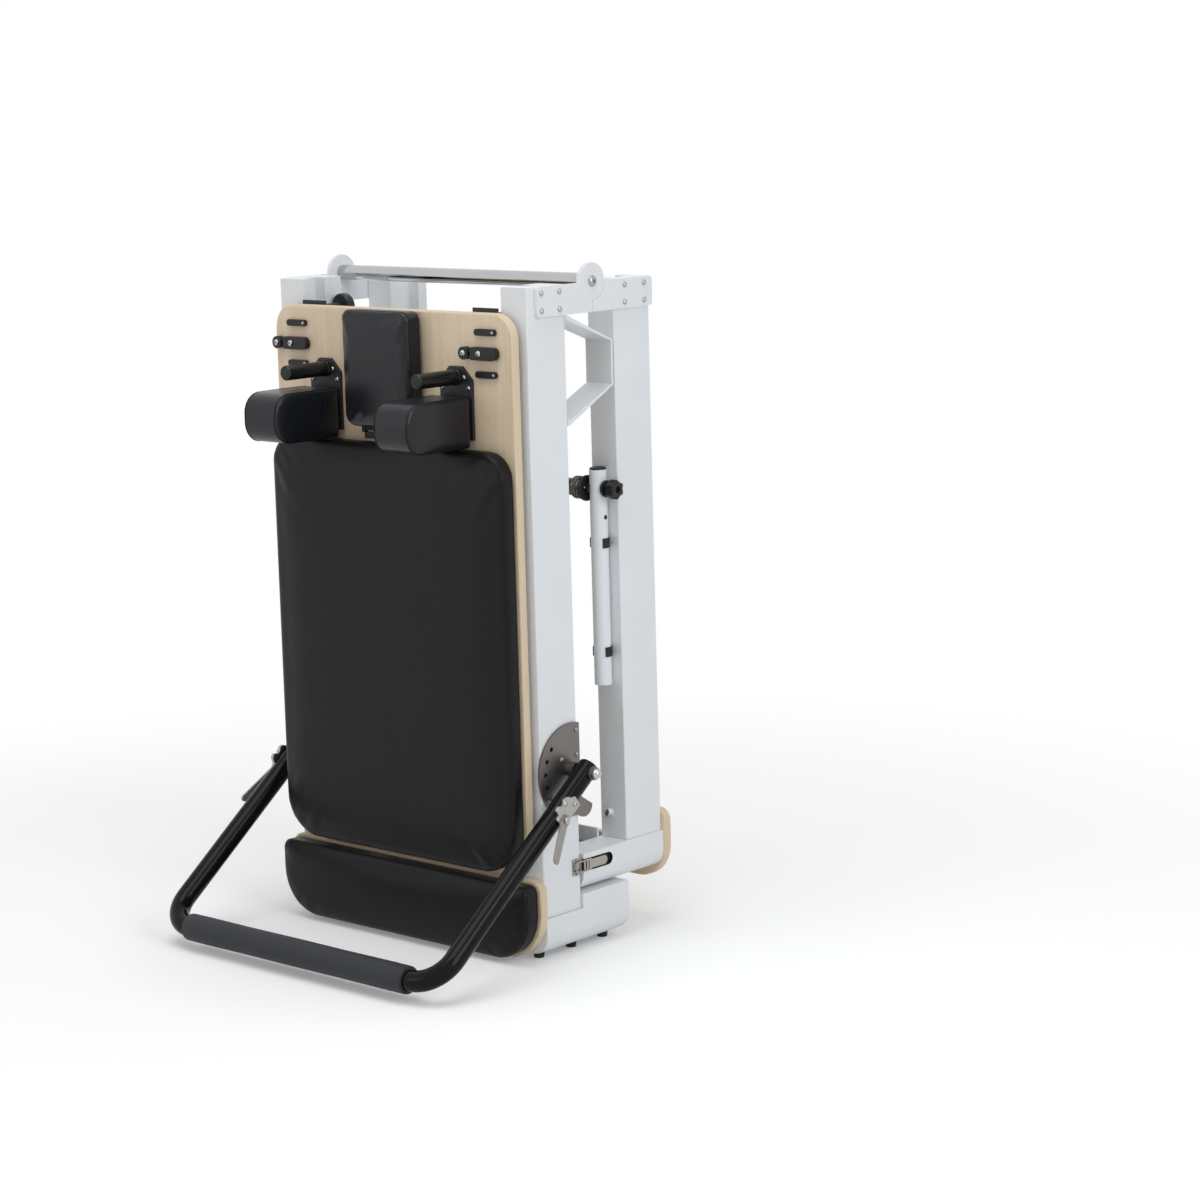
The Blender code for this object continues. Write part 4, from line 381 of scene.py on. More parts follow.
def swell(item, voxel, held, cap, pressure=4.0):
    """Remeshes a pad, blows it up with its held points fixed, and smooths it."""
    only(item)
    item.data.remesh_voxel_size = voxel
    item.data.remesh_voxel_adaptivity = 0
    bpy.ops.object.voxel_remesh()
    before = [vertex.co.copy() for vertex in item.data.vertices]
    fixed = item.vertex_groups.new(name="held")
    fixed.add([i for i, place in enumerate(before) if held(place)], 1.0, "REPLACE")
    cover = item.modifiers.new("cover", "CLOTH")
    cover.settings.quality = 4
    cover.settings.mass = 0.4
    cover.settings.tension_stiffness = cover.settings.compression_stiffness = 12
    cover.settings.bending_stiffness = 1.5
    cover.settings.vertex_group_mass = "held"
    cover.settings.use_pressure = True
    cover.settings.uniform_pressure_force = pressure
    cover.settings.effector_weights.gravity = 0
    cover.collision_settings.use_collision = False
    for step in range(1, 21):
        scene.frame_set(step)
    solved = item.evaluated_get(bpy.context.evaluated_depsgraph_get())
    after = [vertex.co.copy() for vertex in solved.data.vertices]
    item.modifiers.remove(cover)
    scene.frame_set(1)
    for vertex, old, new in zip(item.data.vertices, before, after):
        move = new - old
        if move.length > 1e-7:
            vertex.co = old + move.normalized() * cap * (1 - math.exp(-move.length / cap))
    item.vertex_groups.clear()
    only(item)
    soften = item.modifiers.new("soften", "SMOOTH")
    soften.factor, soften.iterations = 0.5, 3
    bpy.ops.object.modifier_apply(modifier=soften.name)
    finer = item.modifiers.new("finer", "SUBSURF")
    finer.levels = finer.render_levels = 1
    bpy.ops.object.modifier_apply(modifier=finer.name)
    bpy.ops.object.shade_smooth()


# Pebbled relief of the cover: cells about a millimetre wide on soft waves, and creases
leather_grain, given, result = effect("leather_grain", {"Cell": 820.0}, ("Height", "Creases"))
place = node(leather_grain, "TexCoord").outputs["Object"]
cells = node(leather_grain, "TexVoronoi", {"Vector": place, "Scale": given.outputs["Cell"],
                                           "Smoothness": 0.6}, feature="SMOOTH_F1")
waves = node(leather_grain, "TexNoise", {"Vector": place, "Scale": 160.0, "Detail": 4.0})
mixed = node(leather_grain, "Math", {0: cells.outputs["Distance"], 1: waves}, operation="ADD")
folds = node(leather_grain, "TexNoise", {"Vector": place, "Scale": 7.5, "Detail": 2.0,
                                         "Distortion": 0.6})
feed(leather_grain, result, {"Height": mixed, "Creases": folds})


def leatherette(name, colour, rough, gloss):
    """A soft grained cover with uneven shine along its creases, darker in their hollows and lighter
    on their crests as painted shade and light.
    """
    made, tree, shader = fresh(name)
    grain = node(tree, "Group", node_tree=leather_grain)
    creases_and_shade = grain.outputs["Creases"]
    worn = node(tree, "MapRange", {"Value": creases_and_shade, "From Min": 0.3, "From Max": 0.7,
                                   "To Min": rough - 0.05, "To Max": rough + 0.06})
    broad = node(tree, "Bump", {"Height": creases_and_shade, "Distance": 0.0012, "Strength": 1.0})
    fine = node(tree, "Bump", {"Height": grain.outputs["Height"], "Distance": 0.00005,
                               "Normal": broad})
    # The tone follows the crease relief: painted shade in the hollows, painted light on the crests
    tint = blend(tree, creases_and_shade, toned(colour, 0.8), toned(colour, 1.25))
    feed(tree, shader, {"Base Color": tint, "Roughness": worn, "Normal": fine,
                        "Specular IOR Level": gloss, "Sheen Weight": 0.01,
                        "Sheen Tint": (0.75, 0.82, 1.0, 1)})
    return made


black_leather = leatherette("black_leatherette", (0.0042, 0.0041, 0.0046), 0.37, 0.18)
# The same black cover, its base colour made lighter and bluish: painted sheen of cool highlights
sheen_tinted_leather = leatherette("black_leatherette_painted_sheen", (0.0066, 0.0074, 0.0100), 0.29, 0.32)


def finished(item, body, material, word, *nodes):
    """A piece takes its finish, its body and the nodes that it stands for."""
    one_finish(item, material)
    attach(item, body)
    if nodes:
        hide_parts(*nodes)


def covered(item, body, *nodes, cover=black_leather):
    """A padded piece takes its cover, its body and its place in the model."""
    finished(item, body, cover, "black_leatherette", *nodes)


def welt(name, item, body, radius, pad):
    """A thin piped seam round a flat outline, laid on its pad's surface."""
    only(item)
    bpy.ops.object.mode_set(mode="EDIT")
    bpy.ops.mesh.select_all(action="SELECT")
    bpy.ops.mesh.delete(type="ONLY_FACE")
    bpy.ops.object.mode_set(mode="OBJECT")
    laid = item.modifiers.new("laid_on", "SHRINKWRAP")
    laid.target = pad
    laid.wrap_method = "NEAREST_SURFACEPOINT"
    bpy.ops.object.modifier_apply(modifier=laid.name)
    bpy.ops.object.convert(target="CURVE")
    item = bpy.context.object
    item.data.bevel_depth = radius
    item.data.bevel_resolution = 3
    bpy.ops.object.convert(target="MESH")
    item = bpy.context.object
    item.name = name
    bpy.ops.object.shade_smooth()
    finished(item, body, black_leather, "black_leatherette")


def panel_pad(name, body, word, corners, voxel, cap, inset, seam=0.009, cover=black_leather):
    """A board's cushion: a face panel and side bands, sewn together."""
    low, high = (Vector(corner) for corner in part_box(word))
    low += Vector((inset, cap * 0.75, inset))
    high -= Vector((inset, 0.0003, inset))
    item = pad_block(name, low, high, corners, seam)
    line = low.y + seam

    def held(p):
        return p.y > high.y - voxel * 0.7 or abs(p.y - line) < voxel * 0.5

    swell(item, voxel, held, cap)
    covered(item, body, word, cover=cover)
    ring = round_face("seam_line", Vector((low.x, line, low.z)), Vector((high.x, line, high.z)),
                      corners)
    bpy.ops.mesh.subdivide(number_cuts=11)
    bpy.ops.object.mode_set(mode="OBJECT")
    welt(f"{name}_seam", ring, body, 0.0009, item)


panel_pad("carriage_pad", "carriage", "carriage_cushion", corners=(0.078, 0.053), voxel=0.0062,
          cap=0.006, inset=0.0004)
panel_pad("platform_pad", "foot_half", "platform_cushion", corners=(0.082, 0.016), voxel=0.005,
          cap=0.005, inset=0.0006)


# Headrest. A smaller cushion of the same make, in a smoother black cover with
# a painted bluish sheen in its colour, lies on a black steel base hinged at its lower end.

panel_pad("headrest_pad", "headrest", "headrest_cushion", corners=(0.022, 0.015), voxel=0.004,
          cap=0.004, inset=0.0008, cover=sheen_tinted_leather)
satin_black = coat("satin_black_steel", (0.020, 0.021, 0.024), 0.40, 1300, 0.00003, spread=0.04,
                   Specular_IOR_Level=0.3)
dress(["headrest_base", "headrest_hinge"], satin_black)


# Shoulder rests. Each pad has a rolled front over its free end and a flat
# panel on both sides, joined by a piped seam. It has the headrest's cover, and
# a steel bracket plate behind it holds it to the carriage.

low, high = (Vector(corner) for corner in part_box("shoulder_pad_right"))
swollen, roll_radius, side_round = 0.0035, 0.036, 0.005
pad = added(bpy.ops.mesh.primitive_cube_add, "shoulder_rest_right", size=1,
            location=(low + high) / 2)
pad.scale = high - low - Vector((swollen * 1.4, swollen, swollen * 0.9))
pad.location.y += swollen / 2
settle(pad)
front = low.y + swollen
bpy.ops.object.mode_set(mode="EDIT")
rounded(pad, "EDGE", lambda e: all(v.co.y < front + 0.001 for v in e.verts)
        and abs(e.verts[0].co.x - e.verts[1].co.x) > 0.01, roll_radius, 9)
rounded(pad, "EDGE", lambda e: len(e.link_faces) == 2 and e.calc_face_angle(0) > 1.2,
        side_round, 2)
bpy.ops.object.mode_set(mode="OBJECT")
side_low, side_high = low.x + swollen * 0.7, high.x - swollen * 0.7


def pad_seams(p):
    """The pad's back and the rounded edges of its side panels stay in place."""
    return (p.y > high.y - 0.004 or abs(p.x - side_low - side_round) < 0.0022
            or abs(p.x - side_high + side_round) < 0.0022)


swell(pad, 0.004, pad_seams, swollen)
seam_inset = 0.0042
seam_lines = []
for place in (side_low + seam_inset, side_high - seam_inset):
    line = added(bpy.ops.mesh.primitive_cube_add, "seam_line", size=1,
                 location=(place, (low.y + high.y) / 2, (low.z + high.z) / 2))
    line.scale = (0.0001, high.y - low.y, high.z - low.z - swollen)
    settle(line)
    bpy.ops.object.mode_set(mode="EDIT")
    choose(line, "FACE", lambda f: abs(f.normal.x) < 0.9 or f.calc_center_median().x > place)
    bpy.ops.mesh.delete(type="FACE")
    rounded(line, "VERT", lambda v: v.co.y < low.y + 0.001, roll_radius + 0.001, 10)
    rounded(line, "VERT", lambda v: v.co.y > high.y - 0.001, side_round + 0.001, 3)
    bpy.ops.mesh.select_all(action="SELECT")
    bpy.ops.mesh.subdivide(number_cuts=1)
    bpy.ops.object.mode_set(mode="OBJECT")
    seam_lines.append(line)


def mirrored(item, name):
    """The left hand copy of a right hand piece."""
    only(item)
    bpy.ops.object.duplicate()
    copy = bpy.context.object
    copy.name = name
    copy.data.transform(Matrix.Diagonal((-1, 1, 1, 1)))
    copy.data.flip_normals()
    return copy


pad_left = mirrored(pad, "shoulder_rest_left")
for word, item in (("right", pad), ("left", pad_left)):
    covered(item, "carriage", f"shoulder_pad_{word}", cover=sheen_tinted_leather)
for line, side in zip(seam_lines, ("inner", "outer")):
    copy = mirrored(line, "seam_copy")
    welt(f"shoulder_welt_right_{side}", line, "carriage", 0.0013, pad)
    welt(f"shoulder_welt_left_{side}", copy, "carriage", 0.0013, pad_left)


# Fold hinge. A polished chrome bar joins the two pairs of hinge leaves, held
# at each end by a socket head bolt on the fold axis. Each leaf has four button
# head screws.

chrome = coat("polished_chrome", (0.50, 0.50, 0.51), 0.07, 300, 0.000004, tone=0.02,
              spread=0.02, Metallic=1.0)
bright_steel = coat("bright_steel", (0.40, 0.395, 0.385), 0.22, 700, 0.00001, tone=0.05,
                    spread=0.05, Metallic=1.0)


def turned(name, profile, sides=48):
    """A round piece turned about its own Z axis, from (radius, height) pairs."""
    item = added(bpy.ops.mesh.primitive_circle_add, name, vertices=sides, radius=profile[0][0],
                 fill_type="NGON", location=(0, 0, profile[0][1]))
    settle(item)
    bpy.ops.object.mode_set(mode="EDIT")
    bpy.ops.mesh.select_all(action="SELECT")
    for (before, base), (radius, height) in zip(profile, profile[1:]):
        bpy.ops.mesh.extrude_region_move(
            TRANSFORM_OT_translate={"value": (0, 0, height - base)})
        bpy.ops.transform.resize(value=(radius / before, radius / before, 1),
                                 center_override=(0, 0, height))
    turned_out()
    bpy.ops.object.shade_smooth_by_angle(angle=math.radians(32))
    return item


def facing(way, place):
    """The matrix that stands a piece made along +Z on a place, facing that way."""
    turn = Vector(way).to_track_quat("Z", "X").to_matrix().to_4x4()
    return Matrix.Translation(place) @ turn


def set_of(name, pattern, spots, body, material, word="brushed_steel"):
    """Copies one small piece to its places and joins the copies into a piece."""
    made = []
    for way, place in spots:
        copy = pattern.copy()
        copy.data = pattern.data.copy()
        scene.collection.objects.link(copy)
        copy.data.transform(facing(way, place))
        made.append(copy)
    only(*made)
    bpy.ops.object.join()
    item = bpy.context.object
    item.name = name
    bpy.data.objects.remove(pattern, do_unlink=True)
    finished(item, body, material, word)


def both_sides(x, *spots):
    """Places at (y, z) on the outer face of each side, facing outwards."""
    return [((side, 0, 0), (side * x, y, z)) for side in (-1, 1) for y, z in spots]


def screws(name, radius, height, spots, body, material=bright_steel, word="brushed_steel"):
    """A set of button heads, each with a hexagon socket."""
    head = turned("head", [(radius, 0), (radius, height * 0.25), (radius * 0.93, height * 0.55),
                           (radius * 0.74, height * 0.85), (radius * 0.5, height)], 24)
    key = added(bpy.ops.mesh.primitive_cylinder_add, "key", vertices=6, radius=radius * 0.36,
                depth=height, location=(0, 0, height * 0.95))
    only(head)
    socket = head.modifiers.new("socket", "BOOLEAN")
    socket.object = key
    socket.operation = "DIFFERENCE"
    socket.solver = "EXACT"
    bpy.ops.object.modifier_apply(modifier=socket.name)
    bpy.data.objects.remove(key, do_unlink=True)
    only(head)
    bpy.ops.object.shade_smooth_by_angle(angle=math.radians(32))
    set_of(name, head, spots, body, material, word)


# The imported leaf's own screw heads stand this proud of it
packed_head = 0.0026
leaf_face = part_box("hinge_leaf_foot_right")[1].x - packed_head
rows = (1.163, 1.194)
for half, columns in (("foot", (0.029, 0.075)), ("head", (0.247, 0.2997))):
    spots = both_sides(leaf_face, *[(y, z) for y in columns for z in rows])
    screws(f"hinge_screws_{half}", 0.0051, 0.0031, spots, f"{half}_half")

low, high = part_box("fold_bar")
axis_y, axis_z = (low.y + high.y) / 2, (low.z + high.z) / 2
bar_end, leaf_out = 0.3117, 0.3206
bar = turned("fold_rod", [(0.012, -bar_end), (0.014, -bar_end + 0.002), (0.014, bar_end - 0.002),
                          (0.012, bar_end)], 72)
bar.data.transform(facing((1, 0, 0), (0, axis_y, axis_z)))
finished(bar, "foot_half", chrome, "chrome_bar", "fold_bar")
screws("fold_bolts", 0.0098, 0.005, both_sides(leaf_out, (axis_y, axis_z)), "foot_half",
       word="chrome_bar")


# Footbar. One bent steel tube in gloss black swings on studs in two stainless
# sector plates. A foam sleeve covers the crossing, and a stainless bracket on
# each arm carries the lock lever.

gloss_black = coat("gloss_black_paint", (0.006, 0.006, 0.007), 0.13, 420, 0.000008, tone=0.1,
                   spread=0.03, Specular_IOR_Level=0.12)


def drawn(name, points, radius, resolution=4):
    """A round tube or wire along a list of points."""
    line = added(bpy.ops.curve.primitive_nurbs_path_add, name, location=(0, 0, 0))
    line.data.splines.clear()
    spline = line.data.splines.new("POLY")
    spline.points.add(len(points) - 1)
    for spot, place in zip(spline.points, points):
        spot.co = (*place, 1)
    line.data.dimensions = "3D"
    line.data.twist_mode = "MINIMUM"
    line.data.bevel_depth = radius
    line.data.bevel_resolution = resolution
    line.data.use_fill_caps = True
    bpy.ops.object.convert(target="MESH")
    line = bpy.context.object
    bpy.ops.object.mode_set(mode="EDIT")
    turned_out()
    bpy.ops.object.shade_smooth_by_angle(angle=math.radians(40))
    return line


pivot = Vector((0, 0.077, 0.342))
arm_slope = 37.6
slope = math.radians(arm_slope)
along = Vector((0, -math.cos(slope), -math.sin(slope)))
below = Vector((0, math.sin(slope), -math.cos(slope)))
reach, bend, arm_x, tube_radius, tube_end = 0.4945, 0.060, 0.348, 0.019, 0.0145
grip_axis = pivot + along * reach

# The tube is drawn as one path: up an arm, round the bend, across and back
run = [pivot - along * tube_end + Vector((-arm_x, 0, 0))]
corner = grip_axis - along * bend
for step in range(17):
    turn = math.pi / 2 * step / 16
    run.append(corner + along * bend * math.sin(turn)
               - Vector((arm_x - bend * (1 - math.cos(turn)), 0, 0)))
run += [Vector((-p.x, p.y, p.z)) for p in reversed(run)]
tube = drawn("footbar_bent_tube", run, tube_radius, 10)
bpy.ops.object.mode_set(mode="EDIT")
rounded(tube, "EDGE", lambda e: len(e.link_faces) == 2 and e.calc_face_angle(0) > 1.2, 0.0015, 3)
bpy.ops.object.mode_set(mode="OBJECT")
bpy.ops.object.shade_smooth_by_angle(angle=math.radians(40))
finished(tube, "footbar", gloss_black, "black_paint", "footbar_tube")

matte_foam = coat("matte_foam", (0.020, 0.022, 0.028), 0.62, 1500, 0.00012, patch=22,
                  tone=0.15, spread=0.05, Specular_IOR_Level=0.35, Sheen_Weight=0.04,
                  Sheen_Roughness=0.5)
half, bore, skin = 0.283, 0.0192, 0.025
grip = turned("foam_grip", [(bore, -half), (skin - 0.0022, -half), (skin - 0.0006, -half + 0.0008),
                            (skin, -half + 0.003), (skin + 0.0003, -half + 0.05),
                            (skin - 0.0002, -0.12), (skin + 0.0002, 0), (skin - 0.0002, 0.12),
                            (skin + 0.0003, half - 0.05), (skin, half - 0.003),
                            (skin - 0.0006, half - 0.0008), (skin - 0.0022, half),
                            (bore, half)], 64)
grip.data.transform(facing((1, 0, 0), grip_axis))
finished(grip, "footbar", matte_foam, "black_foam", "footbar_grip")

# Brushed finish: fine scratches along one direction
brushing, given, result = effect("brushing", {"Fine": 900.0, "Length": 0.03},
                                 ("Height", "Patches"))
place = node(brushing, "TexCoord").outputs["Object"]
stretch = node(brushing, "CombineXYZ", {"X": 1.0, "Y": given.outputs["Length"], "Z": 1.0})
stretched = node(brushing, "VectorMath", {0: place, 1: stretch}, operation="MULTIPLY")
lines = node(brushing, "TexNoise", {"Vector": stretched, "Scale": given.outputs["Fine"],
                                    "Detail": 3.0})
broad = node(brushing, "TexNoise", {"Vector": place, "Scale": 35.0, "Detail": 3.0})
feed(brushing, result, {"Height": lines, "Patches": broad})


def brushed(name, colour, rough):
    """Stainless steel with fine scratches and an uneven tone."""
    made, tree, shader = fresh(name)
    marks = node(tree, "Group", {"Fine": 900.0}, node_tree=brushing)
    gloss = node(tree, "MapRange", {"Value": marks.outputs["Height"], "To Min": rough - 0.08,
                                    "To Max": rough + 0.1})
    bump = node(tree, "Bump", {"Height": marks.outputs["Height"], "Distance": 0.00003})
    tint = blend(tree, marks.outputs["Patches"], toned(colour, 0.9), toned(colour, 1.08))
    feed(tree, shader, {"Base Color": tint, "Roughness": gloss, "Normal": bump, "Metallic": 1.0})
    return made


brushed_steel = brushed("brushed_stainless", (0.40, 0.39, 0.372), 0.32)
# Darker copies of the same stainless for the levers and sector plates: painted shade
shaded_lever_steel = brushed("lever_stainless_painted_shade", (0.285, 0.275, 0.262), 0.36)
shaded_sector_steel = brushed("sector_stainless_painted_shade", (0.185, 0.175, 0.168), 0.36)
dress(["lock_lever_left", "lock_lever_right"], shaded_lever_steel, angle=50, edge=0.0006)
dress(["sector_plate_left", "sector_plate_right"], shaded_sector_steel, angle=50, edge=0.0005)


def plate(name, outline, near, far, corner=0.0, edge=0.0004):
    """A flat plate across X, from an outline of (y, z) points."""
    item = added(bpy.ops.mesh.primitive_circle_add, name, vertices=len(outline), radius=0.01,
                 fill_type="NGON")
    for vertex, (y, z) in zip(item.data.vertices, outline):
        vertex.co = (near, y, z)
    settle(item)
    bpy.ops.object.mode_set(mode="EDIT")
    bpy.ops.mesh.select_all(action="SELECT")
    if corner:
        bpy.ops.mesh.bevel(offset=corner, segments=5, affect="VERTICES")
        bpy.ops.mesh.select_all(action="SELECT")
    bpy.ops.mesh.extrude_region_move(TRANSFORM_OT_translate={"value": (far - near, 0, 0)})
    turned_out()
    soft = item.modifiers.new("soft_edges", "BEVEL")
    soft.limit_method = "ANGLE"
    soft.angle_limit = math.radians(50)
    soft.width = edge
    soft.segments = 2
    bpy.ops.object.modifier_apply(modifier=soft.name)
    bpy.ops.object.shade_smooth_by_angle(angle=math.radians(32))
    return item


def pair(item, name, body, material, word, *nodes):
    """A right hand piece and its left hand copy, each finished."""
    for side, piece in (("left", mirrored(item, "copy")), ("right", item)):
        piece.name = f"{name}_{side}"
        finished(piece, body.format(side), material, word, *(n.format(side) for n in nodes))


def joined(name, *items):
    """Several objects made into one piece."""
    only(*items)
    bpy.ops.object.join()
    item = bpy.context.object
    item.name = name
    return item


def on_arm(out, down):
    """A point in the side view, from its place along the arm and below it."""
    spot = pivot + along * out + below * down
    return spot.y, spot.z


# The lock bracket has a stepped upper edge; a pin reaches into the sector plate
bracket_in, bracket_out, pin_in, pin_along = 0.365, 0.371, 0.3179, 0.070
edge_points = [(0.061, 0.01425), (0.118, 0.01425), (0.120, -0.00855), (0.113, -0.0105),
               (0.109, -0.0225), (0.101, -0.0255), (0.095, -0.0185), (0.088, -0.0185),
               (0.083, -0.0235), (0.075, -0.0220), (0.069, -0.0125), (0.061, -0.0080)]
bracket = plate("lock_bracket", [on_arm(*spot) for spot in edge_points], bracket_in, bracket_out,
                corner=0.0022)
pin = turned("pin", [(0.0034, 0), (0.004, 0.0008), (0.004, 0.031)], 24)
pin.data.transform(facing((1, 0, 0), (pin_in, *on_arm(pin_along, 0))))
pair(joined("lock_bracket", pin, bracket), "lock_bracket", "footbar", brushed_steel,
     "brushed_steel")
spots = both_sides(bracket_out, on_arm(pin_along, 0.004), on_arm(0.087, -0.0150))
screws("lock_screws", 0.0048, 0.0028, spots, "footbar")
lever_root, lever_along, lever_below = 0.3712, 0.106, 0.005
bolt = turned("bolt", [(0.0039, 0), (0.0039, 0.0046), (0.0066, 0.0047), (0.0066, 0.0064),
                       (0.0052, 0.0074), (0.0024, 0.0078)], 24)
set_of("lever_bolts", bolt, both_sides(lever_root, on_arm(lever_along, lever_below)), "footbar",
       bright_steel)

# A chromed cap nut closes each end of the pivot stud
nut_seat = 0.0006
sector_low, sector_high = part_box("sector_plate_right")
nut = turned("nut", [(0.0092, -0.0042), (0.0096, -0.0034), (0.0096, -0.0006), (0.0088, 0.0002),
                     (0.0078, 0.0006), (0.0070, 0.0028), (0.0050, 0.0046), (0.0022, 0.0054)], 36)
set_of("pivot_nuts", nut, both_sides(sector_high.x - nut_seat, (pivot.y, pivot.z)), "foot_half",
       chrome)

# Screws hold the sector plate to the rail, and near black discs inside its lock holes are painted
# shade
sector_thick, hole_ring, hole_step = 0.005, 0.070, 19.6
spots = both_sides(sector_low.x + sector_thick, (0.0904, 0.412), (0.0904, 0.3672), (0.0504, 0.3644))
screws("sector_screws", 0.0048, 0.0028, spots, "foot_half", material=shaded_lever_steel)
holes = []
for step in range(1, 5):
    turn = math.radians(180 + arm_slope - hole_step * step)
    holes.append((pivot.y + hole_ring * math.cos(turn), pivot.z + hole_ring * math.sin(turn)))
# A near black finish, painted shade for the insides of holes and slots
painted_hole_shade = coat("hole_shadow", (0.012, 0.012, 0.012), 0.6, 900, 0.00002,
                  Specular_IOR_Level=0.2)
back = turned("back", [(0.0043, 0), (0.0043, 0.0006), (0.003, 0.001)], 24)
set_of("sector_hole_painted_shade", back, both_sides(sector_low.x + 0.0002, *holes), "foot_half",
       painted_hole_shade)


# Cross tray, rail bolts and latch slots. The tray between the head legs is
# folded from grey steel sheet. A chromed dome bolt shows on each head rail. The
# slot that each latch strap lies in is painted near black inside, as shade.

def part_faces(word, material, test):
    """Some faces of a node get a second finish, chosen by their middles."""
    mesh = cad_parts[word].data
    mesh.materials.append(material)
    for face in mesh.polygons:
        if test(face.center):
            face.material_index = len(mesh.materials) - 1


def in_front(y, *spots):
    """Places at (x, z) on a front face, facing forwards."""
    return [((0, -1, 0), (x, y, z)) for x, z in spots]


rail_low, rail_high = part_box("rail_head_right")
tray_back = rail_low.y - 0.010
tray_front = tray_back - 0.065
latch_z, slot_half = 0.160, 0.0121


def on_tray(p):
    return (abs(p.x) < rail_low.x - 0.0003 and tray_front - 0.001 < p.y < tray_back + 0.001
            and 0.165 < p.z < 0.1985)


def in_slot(p):
    return (0.3105 < abs(p.x) < 0.3165 and 0.0995 < p.y < 0.181
            and abs(p.z - latch_z) < slot_half)


grey_sheet = coat("grey_steel_sheet", (0.20, 0.20, 0.205), 0.45, 700, 0.00002, tone=0.08,
                  Metallic=0.4)
part_faces("head_frame", grey_sheet, on_tray)
# The slot faces take the near black finish as painted shade
part_faces("head_frame", painted_hole_shade, in_slot)
dome_x, dome_z = 0.273, 0.228
dome = turned("dome", [(0.0090, 0), (0.0090, 0.0008), (0.0084, 0.0022), (0.0070, 0.0038),
                       (0.0046, 0.0051), (0.0018, 0.0056)], 32)
set_of("rail_bolts", dome, in_front(rail_low.y, (-dome_x, dome_z), (dome_x, dome_z)), "head_half",
       chrome)


# Transport latches. A nickelled catch plate is screwed to the foot rail. A wire
# loop reaches over it from a ribbed strap lever, which turns on the head leg.

nickel = coat("nickel_plate", (0.36, 0.345, 0.305), 0.24, 600, 0.00001, tone=0.12, spread=0.06,
              Metallic=1.0)
strap_in, strap_out, strap_root, strap_tip, strap_half = 0.3150, 0.3179, 0.112, 0.1555, 0.0085
tip = [(strap_tip + strap_half * math.cos(turn), latch_z + strap_half * math.sin(turn))
       for turn in (math.pi * (step / 10 - 0.5) for step in range(11))]
strap = plate("strap", [(strap_root, latch_z - strap_half), *tip,
                        (strap_root, latch_z + strap_half)], strap_in, strap_out)
pieces = [strap]
rib_x = 0.3184
for y in (0.1015, 0.1085, 0.1155):
    rib = turned("rib", [(0.0014, -0.0102), (0.0021, -0.0095), (0.0021, 0.0095),
                         (0.0014, 0.0102)], 16)
    rib.data.transform(Matrix.Translation((rib_x, y, latch_z)))
    pieces.append(rib)
wire_x, wire_root, wire_end, wire_half, wire_corner = 0.3188, 0.119, 0.0797, 0.0092, 0.0018
half_loop = [(wire_root, wire_half), (wire_end + wire_corner, wire_half),
             (wire_end, wire_half - wire_corner)]
loop = [(wire_x, y, latch_z - z) for y, z in half_loop]
loop += [(wire_x, y, latch_z + z) for y, z in reversed(half_loop)]
pieces.append(drawn("wire", loop, 0.0016))
pair(joined("latch_strap", *pieces), "latch_strap", "latch_{}", nickel, "brushed_steel",
     "latch_lever_{}")

catch_in, catch_out, catch_half = 0.3118, 0.3144, 0.0154


def catch_strip(name, low_y, high_y, near, far, corner=0.0):
    """An upright strip of the catch, centred on the latch's height."""
    low_z, high_z = latch_z - catch_half, latch_z + catch_half
    outline = [(low_y, low_z), (high_y, low_z), (high_y, high_z), (low_y, high_z)]
    return plate(name, outline, near, far, corner)


catch = catch_strip("catch", 0.0746, 0.0934, catch_in, catch_out, corner=0.002)
lip = catch_strip("lip", 0.0826, 0.0863, catch_out - 0.0004, catch_out + 0.0016)
pair(joined("latch_catch", lip, catch), "latch_catch", "foot_half", nickel, "brushed_steel")
spots = both_sides(catch_out, (0.0786, latch_z - 0.0115), (0.0786, latch_z + 0.0115))
screws("catch_screws", 0.0024, 0.0014, spots, "foot_half")


# Shoulder brackets and carriage fittings. The brackets are flat black steel
# plate, each with a turned peg for the rope loops. Guides and rope cleats are
# moulded black plastic, and bright screws hold them all.

dress(["shoulder_bracket_left", "shoulder_bracket_right"], satin_black)
peg_low, peg_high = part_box("shoulder_bracket_right")
peg_x, peg_z = (peg_low.x + peg_high.x) / 2, 1.0476
bracket_face = -0.0318
peg = turned("peg", [(0.0150, 0), (0.0150, 0.0030), (0.0138, 0.0042), (0.0136, 0.0935),
                     (0.0136, 0.0968), (0.0127, 0.0982), (0.0112, 0.0984), (0.0106, 0.0976),
                     (0.0100, 0.0984), (0.0030, 0.0986)], 48)
peg.data.transform(facing((0, -1, 0), (peg_x, bracket_face, peg_z)))
peg_black = coat("gloss_black_peg", (0.010, 0.010, 0.011), 0.22, 500, 0.00001, tone=0.1,
                 spread=0.03, Specular_IOR_Level=0.3)
pair(peg, "rope_peg", "carriage", peg_black, "black_steel")
screw_out, screw_z, beside_peg = 0.0316, 1.029, 0.021
spots = in_front(bracket_face, *[(side * (peg_x + shift), screw_z) for side in (-1, 1)
                                 for shift in (-screw_out, screw_out)],
                 *[(side * peg_x + beside_peg, peg_z) for side in (-1, 1)])
screws("bracket_screws", 0.0043, 0.0030, spots, "carriage")

